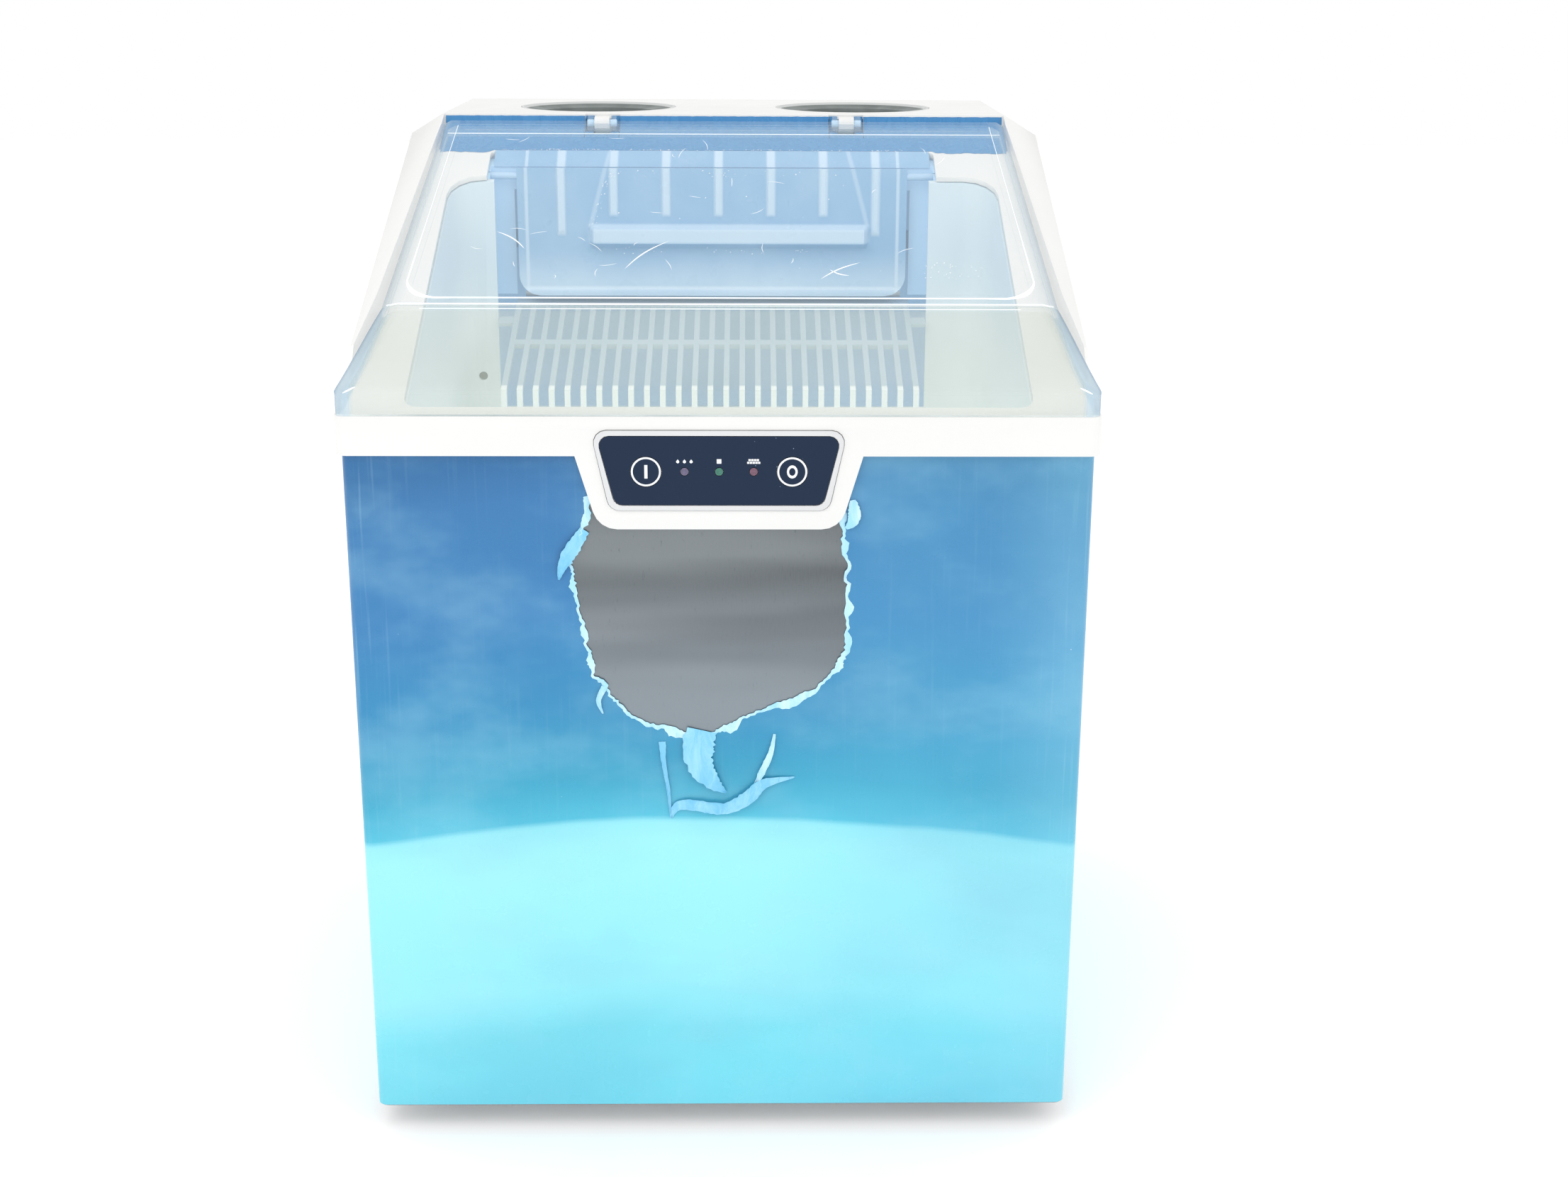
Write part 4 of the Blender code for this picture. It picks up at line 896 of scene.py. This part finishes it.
def lid_half(y):
    """Half-width of the lid, which narrows towards the hinge and has rounded front corners."""
    first, second = LID_STATIONS[:2] if y < LID_CREASE[0] else LID_STATIONS[1:]
    half = first[1] + (second[1] - first[1]) * (y - first[0]) / (second[0] - first[0])
    near = y - LID_STATIONS[0][0]
    if near < LID_CORNER:
        half -= LID_CORNER - math.sqrt(max(0.0, LID_CORNER**2 - (LID_CORNER - near) ** 2))
    return half


def lid_top(y):
    """Height of the lid's top face in the middle."""
    if y < LID_SHOULDER[0]:
        return LID_SHOULDER[1] - 2.6 * (1 - ease(y, -200.0, LID_SHOULDER[0])) - 0.3
    if y < LID_CREASE[0]:
        first, second = LID_SHOULDER, LID_CREASE
    else:
        first, second = LID_CREASE, LID_REAR
    return first[1] + (second[1] - first[1]) * (y - first[0]) / (second[0] - first[0])


def window_depth(x, y, half):
    """Distance from the window's edge, positive inside."""
    side = half - WINDOW_SIDE - abs(x)
    low = (y - LID_CREASE[0]) * LID_STRETCH - WINDOW_LOW
    high = (WINDOW_REAR - y) * LID_STRETCH
    if side < WINDOW_CORNER and low < WINDOW_CORNER:
        return WINDOW_CORNER - math.hypot(WINDOW_CORNER - side, WINDOW_CORNER - low)
    return min(side, low, high)


def steps_between(low, high, pitch):
    count = max(1, round((high - low) / pitch))
    return [low + (high - low) * i / count for i in range(count)]


def lid_height(x, y):
    """Height of the lid's outer face: bevelled sides, a bead on the crease and a raised window."""
    half = lid_half(y)
    from_side = half - abs(x)
    flange = FLANGE[0] + (FLANGE[1] - FLANGE[0]) * ease(y, -190.0, LID_CREASE[0])
    bevel = 0.5 * max(0.0, flange - from_side)
    nose = 1.5 * math.exp(-(y - LID_STATIONS[0][0]) / 0.9)
    bead = 0.5 * math.exp(-(((y - LID_CREASE[0]) / 1.3) ** 2)) * ease(from_side, 1, 6)
    return lid_top(y) - bevel - nose + bead + WINDOW_STEP * ease(window_depth(x, y, half), -0.6, 0.6)


def lid_foot(y):
    return max(SEAT_LEVEL, SEAT_LEVEL + 2.0 + SEAT_RISE * (y - OPENING_FRONT))


def lid_skin(inset):
    """Points and faces of one side of the lid's wall, and the indices of its lower edge round the lid."""
    front, rear = LID_STATIONS[0][0], LID_STATIONS[-1][0]
    ys = [front + d for d in LID_STEPS] + steps_between(-189.0, -122, 4)
    ys += steps_between(-122, -106, 0.8) + steps_between(-106, 40, 4) + steps_between(40, rear, 0.9) + [rear]
    span = (rear - front - 2 * inset) / (rear - front)
    middle = 80
    points = []
    for y in ys:
        half = lid_half(y)
        place = front + inset + (y - front) * span
        xs = [d - half for d in LID_COLUMNS]
        inner = half - LID_COLUMNS[-1]
        xs += [-inner + 2 * inner * i / middle for i in range(1, middle)]
        xs += [half - d for d in reversed(LID_COLUMNS)]
        squeeze = (half - inset) / half
        points.append([(x * squeeze, place, lid_height(x, y) - 1.1 * inset) for x in xs])
    rows, columns = len(points), len(points[0])
    faces = grid_faces(rows, columns)
    ring = [r * columns for r in range(rows - 1, -1, -1)]
    ring += list(range(1, columns))
    ring += [r * columns + columns - 1 for r in range(1, rows)]
    ring += [(rows - 1) * columns + c for c in range(columns - 2, 0, -1)]
    flat = [p for row in points for p in row]
    levels = 4
    above = ring
    for level in range(levels):
        start = len(flat)
        for index in above:
            x, y, z = flat[index]
            flat.append((x, y, z + (lid_foot(y) - z) / (levels - level)))
        below = list(range(start, len(flat)))
        faces += [(above[i - 1], above[i], below[i], below[i - 1]) for i in range(len(below))]
        above = below
    return flat, faces, above


def lid_shell():
    """The clear moulding: an outer and an inner skin, joined along their lower edge."""
    points, faces, outer = lid_skin(0.0)
    more, inside, inner = lid_skin(LID_WALL)
    base = len(points)
    faces += flipped([[base + i for i in face] for face in inside])
    count = len(outer)
    for i in range(count):
        j = (i + 1) % count
        faces.append((outer[i], outer[j], base + inner[j], base + inner[i]))
    shell = piece("lid_shell", points + more, faces, "clear_lid", "lid", "clear_lid", ["lid"])
    face_outwards(shell)
    round_first(shell, 0.5, degrees=45)
    let_light_through(shell)


def let_light_through(obj):
    """Clear pieces don't darken what is under them."""
    obj.visible_shadow = False
    obj.visible_diffuse = False


def face_outwards(obj):
    """Turns the mesh inside out where its signed volume is negative."""
    mesh = obj.data
    volume = 0.0
    for polygon in mesh.polygons:
        a = mesh.vertices[polygon.vertices[0]].co
        for i in range(1, len(polygon.vertices) - 1):
            b = mesh.vertices[polygon.vertices[i]].co
            c = mesh.vertices[polygon.vertices[i + 1]].co
            volume += a.dot(b.cross(c))
    if volume < 0:
        mesh.flip_normals()


def arc(centre, radius, start, end, steps):
    """Points on an arc, in degrees."""
    return [
        (centre[0] + radius * math.cos(math.radians(start + (end - start) * i / steps)),
         centre[1] + radius * math.sin(math.radians(start + (end - start) * i / steps)))
        for i in range(steps + 1)
    ]


HINGE = (55.0, 500.5)  # Y and Z of the lid's axis
HINGE_X = 70.0
THROAT_HALF = 125.0
CHAMBER_X = -6.5  # the chamber, the curtain and the grate stand left of the middle
EYE_BORE = 2.2  # clears the pin, whose radius is 1.9


def lid_eyes():
    """Bored eyes that join the lid to its two pins."""
    rim = arc(HINGE, 3.9, 90, -90, 14)
    corners = [rim[-1], (47.8, 497.0), (47.8, 500.4), rim[0]]
    for (u0, v0), (u1, v1) in zip(corners, corners[1:]):
        rim += [(u0 + (u1 - u0) * i / 8, v0 + (v1 - v0) * i / 8) for i in range(1, 9)]
    rim.pop()
    bore = []
    for u, v in rim:
        share = EYE_BORE / math.hypot(u - HINGE[0], v - HINGE[1])
        bore.append((HINGE[0] + (u - HINGE[0]) * share, HINGE[1] + (v - HINGE[1]) * share))
    count = len(rim)
    faces = []
    for i in range(count):
        j = (i + 1) % count
        for a, b in ((0, 1), (1, 3), (3, 2), (2, 0)):
            faces.append((a * count + i, a * count + j, b * count + j, b * count + i))
    for side in (-1, 1):
        for number, offset in enumerate((-6.5, 6.5)):
            x = side * HINGE_X + offset
            points = [(w, u, v) for w in (x - 1.6, x + 1.6) for ring in (rim, bore) for u, v in ring]
            name = f"lid_eye_{'left' if side < 0 else 'right'}_{number + 1}"
            eye = piece(name, points, faces, "clear_eye", "lid", "clear_lid")
            face_outwards(eye)
            round_first(eye, 0.3)


def on_lid(x, y, height=0.06):
    """A point just above the lid's top face."""
    return Vector((x, y, lid_height(x, y) + height))


def tube(path, radius, sides=8):
    """Points and faces of a closed tube along a path; radius is a number, or a list of one for each point."""
    path = [Vector(p) for p in path]
    radii = radius if isinstance(radius, list) else [radius] * len(path)
    points, faces = [], []
    for i, here in enumerate(path):
        run = (path[min(len(path) - 1, i + 1)] - path[max(0, i - 1)]).normalized()
        side = run.cross(Vector((0, 0, 1)))
        side = side.normalized() if side.length > 0.1 else Vector((1, 0, 0))
        up = side.cross(run)
        for k in range(sides):
            turn = 2 * math.pi * k / sides
            points.append(here + radii[i] * (side * math.cos(turn) + up * math.sin(turn)))
    for i in range(len(path) - 1):
        for k in range(sides):
            a, b = i * sides + k, i * sides + (k + 1) % sides
            faces.append((a, a + sides, b + sides, b))
    faces += [tuple(range(sides)), tuple(reversed(range(len(points) - sides, len(points))))]
    return points, faces


def lid_painted_line(name, path, radius, finish="highlight"):
    # A thin tube of painted light on the lid: a highlight, or with the clear_shade finish a painted shade
    # line.
    bead = piece(name, *tube(path, radius), finish, "lid", "clear_lid")
    face_outwards(bead)
    let_light_through(bead)


def across_lid(y, margin, height, count=60):
    half = lid_half(y) - margin
    return [on_lid(-half + 2 * half * i / count, y, height) for i in range(count + 1)]


def lid_lines():
    """Painted light lines: white highlights at the crease, the window, the front corners and the rear lower
    edge, and painted shade lines under the crease and along the front lower edge.
    """
    front, crease, rear = LID_STATIONS[0][0], LID_CREASE[0], LID_STATIONS[-1][0]
    lid_painted_line("lid_crease_highlight", across_lid(crease + 0.3, 2.5, 0.05), 0.42)
    lid_painted_line("lid_crease_shade", across_lid(crease - 1.0, 3.0, -0.05), 0.24, "clear_shade")
    lid_painted_line("lid_crease_line", across_lid(crease - 3.4, 20.0, -0.12), 0.2)

    bottom = crease + WINDOW_LOW / LID_STRETCH
    turn = WINDOW_CORNER / LID_STRETCH
    top = WINDOW_REAR - 1.0
    left, sizes = [], []
    for i in range(41):
        y = top + (bottom + turn - top) * i / 40
        left.append((WINDOW_SIDE - lid_half(y), y))
        sizes.append(0.14 + 0.3 * ease(i, 22, 40))
    edge = WINDOW_SIDE - lid_half(bottom + turn)
    for i in range(1, 17):
        a = math.radians(90 * i / 16)
        left.append((edge + WINDOW_CORNER * (1 - math.cos(a)), bottom + turn * (1 - math.sin(a))))
        sizes.append(0.48 + 0.75 * math.sin(2 * a) ** 2)
    reach = left[-1][0]
    outline = left + [(reach * (1 - i / 15), bottom) for i in range(1, 30)]
    sizes += [0.36] * 29
    outline += [(-x, y) for x, y in reversed(left)]
    sizes += list(reversed(sizes[: len(left)]))
    path = [on_lid(x, y, 0.15 - 0.7 * size) for (x, y), size in zip(outline, sizes)]
    lid_painted_line("lid_window_highlight", path, sizes)

    # Painted shade line along the lid's lower front edge.
    corner = (-191.0, -193.5, -195.5, -197.3, -198.7, -199.6)
    foot = [(-lid_half(y) + 0.35, y, lid_foot(y) + 0.4) for y in corner]
    reach = lid_half(front) - 0.4
    foot += [(-reach + 2 * reach * i / 50, front + 0.4, SEAT_LEVEL + 0.4) for i in range(51)]
    foot += [(-x, y, z) for x, y, z in reversed(foot[:6])]
    lid_painted_line("lid_foot_line", foot, 0.36, "clear_shade")
    for side, name in ((-1, "left"), (1, "right")):
        glint = [on_lid(side * (171.0 + i), front + 1.0, 0.1) for i in range(7)]
        lid_painted_line(f"lid_glint_{name}", glint, [0.1, 0.3, 0.38, 0.4, 0.38, 0.3, 0.1])
    half = lid_half(rear) - 1.5
    hem = [(-half + 2 * half * i / 60, rear - 0.35, lid_foot(rear) + 0.4) for i in range(61)]
    lid_painted_line("lid_rear_line", hem, 0.26)


def lid_scratches():
    """Short curved scuffs on the clear lid, as thin slivers."""
    rng = random.Random(11)
    marks = [((-119, -58), (-103, -73), 1.8), ((51, -98), (72, -84), 1.6), ((56, -90), (66, -95), -1.2),
             ((-50, -90), (-28, -66), 2.2), ((24, -12), (34, -14), 0.5), ((-12, 28), (-9, 18), 1.0)]
    for _ in range(26):
        x, y = rng.uniform(-125, 125), rng.uniform(-100, 30)
        turn, length = rng.uniform(0, math.pi), rng.uniform(3, 11)
        end = (x + length * math.cos(turn), y + length * math.sin(turn))
        marks.append(((x, y), end, rng.uniform(-1.2, 1.2)))
    points, faces = [], []
    for number, (start, end, bend) in enumerate(marks):
        a, b = Vector((*start, 0)), Vector((*end, 0))
        side = Vector((-(b - a).y, (b - a).x, 0)).normalized()
        wide = 0.42 if number < 4 else 0.16
        base = len(points)
        steps = 10
        for i in range(steps + 1):
            t = i / steps
            middle = a.lerp(b, t) + side * bend * math.sin(math.pi * t)
            half = max(0.02, wide * math.sin(math.pi * t) ** 0.6)
            points += [on_lid(*(middle - side * half).xy), on_lid(*(middle + side * half).xy)]
        faces += [(base + 2 * i, base + 2 * i + 1, base + 2 * i + 3, base + 2 * i + 2) for i in range(steps)]
    piece("lid_scratches", points, faces, "scratch_white", "lid", "clear_lid")


# Control panel: printed marks and lamp pictograms

MARK_THICK = 0.06
BUTTON_X = 34.9
BUTTON_Z = 356.6
BUTTON_RING = (7.15, 6.25)  # outer and inner radius of the ring round each button
LED_PITCH = 16.5


def ring_points(x, z, outer, inner, count=48, squeeze=1.0):
    turns = [2 * math.pi * i / count for i in range(count)]
    return [
        [(x + squeeze * radius * math.cos(turn), z + radius * math.sin(turn)) for turn in turns]
        for radius in (outer, inner)
    ]


def print_marks(name, rings, outlines, y, body):
    """White print: rings and filled outlines, a hair in front of the face at y."""
    points, faces = [], []
    for outer, inner in rings:
        base, count = len(points), len(outer)
        points += [(u, y - MARK_THICK, v) for u, v in outer + inner]
        faces += [(base + i, base + (i + 1) % count, base + count + (i + 1) % count, base + count + i)
                  for i in range(count)]
    for outline in outlines:
        base = len(points)
        points += [(u, y - MARK_THICK, v) for u, v in outline]
        faces.append(tuple(range(base, base + len(outline))))
    piece(name, points, faces, "print_white", body, "navy_overlay", thickness=-MARK_THICK * 0.8)


def bar(x, z, half_x, half_z):
    corners = ((-1, -1), (1, -1), (1, 1), (-1, 1))
    return [(x + i * half_x, z + k * half_z) for i, k in corners]


def drop_outline(x, z, size):
    return [(x, z + size * 1.5)] + arc((x, z), size, 35, -215, 14)


def panel_marks():
    face = box_mm("button_on")[0].y
    rings = [ring_points(-BUTTON_X, BUTTON_Z, *BUTTON_RING)]
    print_marks("mark_on", rings, [bar(-BUTTON_X, BUTTON_Z, 0.75, 3.3)], face, "on_button")
    rings = [ring_points(BUTTON_X, BUTTON_Z, *BUTTON_RING)]
    rings.append(ring_points(BUTTON_X, BUTTON_Z, 3.2, 1.9, squeeze=0.8))
    print_marks("mark_off", rings, [], face, "off_button")
    level = BUTTON_Z + 5.1
    water = [drop_outline(-LED_PITCH + dx, level - 0.2, 0.75) for dx in (-3.2, 0, 3.2)]
    cube = [bar(0, level, 1.1, 1.1)]
    stack = [bar(LED_PITCH + dx, level - 0.65, 0.55, 0.5) for dx in (-2.6, -1.3, 0, 1.3, 2.6)]
    stack += [bar(LED_PITCH + dx, level + 0.65, 0.55, 0.5) for dx in (-1.95, -0.65, 0.65, 1.95)]
    print_marks("marks_lamps", [], water + cube + stack, box_mm("panel_overlay")[0].y, "chassis")


# Ice curtain: a translucent flap with ribs, a flared tray shape and a ledge

CURTAIN_WALL = 1.6
CURTAIN_HALF = 109.5
CURTAIN_FACE = 18.0  # Y of the sheet's front
CURTAIN_CORNER = 12.0


def curtain_relief(x, z):
    """How far the curtain's face stands forward of its sheet."""
    relief = 0.0
    if z > 438:
        for number in range(7):
            centre = (number - 3) * RIB_PITCH + RIB_SHIFT
            foot = 440 if number in (0, 6) else 450
            relief = max(relief, 1.2 * ease(2.6 - abs(x - centre), 0, 1.2) * ease(z, foot, foot + 4))
    across = abs(x - LEDGE_MIDDLE)
    lean = 79 - (z - 443) * 0.27
    tray = ease(lean + 1 - across, 0, 2.5) * ease(z, 431, 436)
    relief += 0.8 * tray
    ledge = ease(79.5 - across, 0, 4.0) * ease(z, 433, 438) * ease(448 - z, 0, 3.5)
    relief = max(relief, 7.2 * ledge)
    rim = ease(abs(x), 104.5, 106.5) + ease(411.5 - z, 0, 2.0)
    return max(relief, 1.0 * min(1.0, rim))


def curtain_flap():
    low, high = box_mm("ice_curtain")
    middle = (low.x + high.x) / 2
    half, corner = CURTAIN_HALF, CURTAIN_CORNER
    columns, rows = 200, 90
    points = []
    for r in range(rows + 1):
        z = low.z + (high.z - low.z) * r / rows
        near = z - low.z
        reach = half
        if near < corner:
            reach = half - corner + math.sqrt(max(0.0, corner * corner - (corner - near) ** 2))
        for c in range(columns + 1):
            x = -reach + 2 * reach * c / columns
            points.append((middle + x, CURTAIN_FACE - min(6.8, curtain_relief(x, z)), z))
    faces = grid_faces(rows + 1, columns + 1)
    piece("curtain_flap", points, faces, "curtain", "curtain", "blue_curtain", ["ice_curtain"], CURTAIN_WALL)
    for side in (-1, 1):
        ends = sorted((middle + side * 109.0, middle + side * 125.6))
        pivot = prism(arc((19.0, 474.0), 2.0, 0, 345, 23), lambda y, z, x: (x, y, z), *ends)
        name = f"curtain_pivot_{'left' if side < 0 else 'right'}"
        face_outwards(piece(name, *pivot, "blue_curtain", "curtain", "blue_curtain"))


# Film behind the throat: from the seat up to the deck, in the hinge pockets, and down over the chamber

POCKET = (46.5, 63.5, 10.0)  # front, rear and half-width of a hinge pocket
STEP_Y = 59.6
BRACKET_HALF = 4.9
DRAPE_TOP = 33.2  # Y of the upper edge of the strip over the chamber
DRAPE_FOOT = (23.0, 478.6)  # Y and Z of its lower edge


def seat_height(y):
    return SEAT_LEVEL + 1.6 + SEAT_RISE * (y - OPENING_FRONT)


def film_piece(name, points, keep, finish="header_film"):
    piece(name, points, keep, finish, "chassis", "blue_film", thickness=LOOSE_FILM)


def header_strip():
    columns = 160
    flat_from = 35.4
    ys = steps_between(flat_from, POCKET[0] - 0.1, 1.4) + steps_between(POCKET[0] - 0.1, STEP_Y, 1.3)
    points = []
    for c in range(columns + 1):
        x = -160.0 + 320.0 * c / columns
        ragged = 1.2 * noise.noise(Vector((x * 0.12, 0, 0))) + 0.7 * noise.noise(Vector((x * 0.6, 5, 0)))
        front = 33.3 if abs(x - CHAMBER_X) < THROAT_HALF else 31.4 + ragged
        for place in [front, front + 0.3, front + 1.0] + ys:
            ripple = 0.08 * abs(noise.noise(Vector((x * 0.05, place * 0.2, 1))))
            points.append((x, place, seat_height(place) + 0.22 + ripple))
        top = 504.1 + 0.25 * noise.noise(Vector((x * 0.3, 2, 0)))
        points += [(x, STEP_Y, seat_height(STEP_Y) + 0.6), (x, STEP_Y, top - 1.5), (x, STEP_Y, top)]
    rows = len(ys) + 6
    keep = []
    for face in grid_faces(columns + 1, rows):
        x, y, _ = middle_of(points, face)
        if abs(abs(x) - HINGE_X) > POCKET[2] or y < POCKET[0] - 0.2:
            keep.append(tuple(reversed(face)))
    film_piece("header_film_strip", points, keep)


def pocket_film():
    """Film that lines the two hinge pockets, below the lid's eyes and round the brackets."""
    front, rear, half = POCKET[0] - 0.1, POCKET[1] - 0.3, POCKET[2] - 0.3
    seat = [seat_height(POCKET[0] + i * 0.7) + 0.2 for i in range(25)]
    profile = [(min(front + i * 0.7, rear), min(495.7, level)) for i, level in enumerate(seat)]
    profile += [(rear, 497.0 + i * 1.4) for i in range(6)]
    count = 20
    for side, name in ((-1, "left"), (1, "right")):
        points = []
        for y, z in profile:
            points += [(side * HINGE_X - half + 2 * half * c / count, y, z) for c in range(count + 1)]
        keep = []
        for face in grid_faces(len(profile), count + 1):
            x, y, _ = middle_of(points, face)
            if abs(x - side * HINGE_X) > BRACKET_HALF or y < 50.5:
                keep.append(face)
        film_piece(f"header_film_pocket_{name}", points, keep)


def throat_drape():
    """Strip that slants from the seat's edge down over the chamber's lintel; its finish draws the ribs as
    paler painted highlights.
    """
    columns, rows = 122, 8
    half = THROAT_HALF - 2.4
    start = seat_height(DRAPE_TOP) + 0.1
    points = []
    for r in range(rows + 1):
        for c in range(columns + 1):
            x = CHAMBER_X - half + 2 * half * c / columns
            share = r / rows
            y = DRAPE_TOP + (DRAPE_FOOT[0] - DRAPE_TOP) * share
            points.append((x, y, start + (DRAPE_FOOT[1] - start) * share))
    film_piece("throat_film", points, flipped(grid_faces(rows + 1, columns + 1)), "curtain")


def specks(name, places, body, slot, seed):
    """Tiny white flecks; each place is (corner, u, v, count), a patch spanned by u and v."""
    rng = random.Random(seed)
    points, faces = [], []
    for corner, u, v, count in places:
        corner, u, v = Vector(corner), Vector(u), Vector(v)
        for _ in range(count):
            middle = corner + u * rng.random() + v * rng.random()
            size, stretch = rng.uniform(0.14, 0.42), rng.uniform(0.5, 1.0)
            along, side = u.normalized(), v.normalized()
            base = len(points)
            for k in range(7):
                a = 2 * math.pi * k / 7 + rng.uniform(-0.3, 0.3)
                points.append(middle + along * size * math.cos(a) + side * size * stretch * math.sin(a))
            faces.append(tuple(range(base, base + 7)))
    piece(name, points, faces, "scratch_white", body, slot)


def ice_specks():
    """Flecks of ice and lime on the curtain, on the film's edge above it and on the lid."""
    middle = CHAMBER_X + LEDGE_MIDDLE
    y = 15.9
    patches = [
        ((middle - 79, y, 447), (10, 0, 28), (4, 0, 0), 26),
        ((middle - 60, y, 431), (110, 0, 0), (0, 0, 4), 24),
        ((middle - 95, y, 420), (185, 0, 0), (0, 0, 52), 26),
        ((middle - 78, y, 474), (150, 0, 0), (0, 0, 3.5), 30),
    ]
    specks("curtain_specks", patches, "curtain", "blue_curtain", 5)
    edge = (CHAMBER_X - THROAT_HALF + 4, 32.6, seat_height(32.6) + 0.5)
    specks("header_specks", [(edge, (230, 0, 0), (0, 1.4, 0.65), 150)], "chassis", "blue_film", 7)
    low = on_lid(104, -98, 0.1)
    rise = on_lid(136, -84, 0.1) - low
    specks("lid_specks", [(low, (32, 0, 0), (0, rise.y, rise.z), 40)], "lid", "clear_lid", 6)


def build():
    add_camera()
    add_studio()
    dress_nodes()
    front = film_sheet()
    torn_edge(front)
    film_flaps(front)
    lid_shell()
    lid_eyes()
    lid_lines()
    lid_scratches()
    panel_marks()
    curtain_flap()
    header_strip()
    pocket_film()
    throat_drape()
    ice_specks()


build()
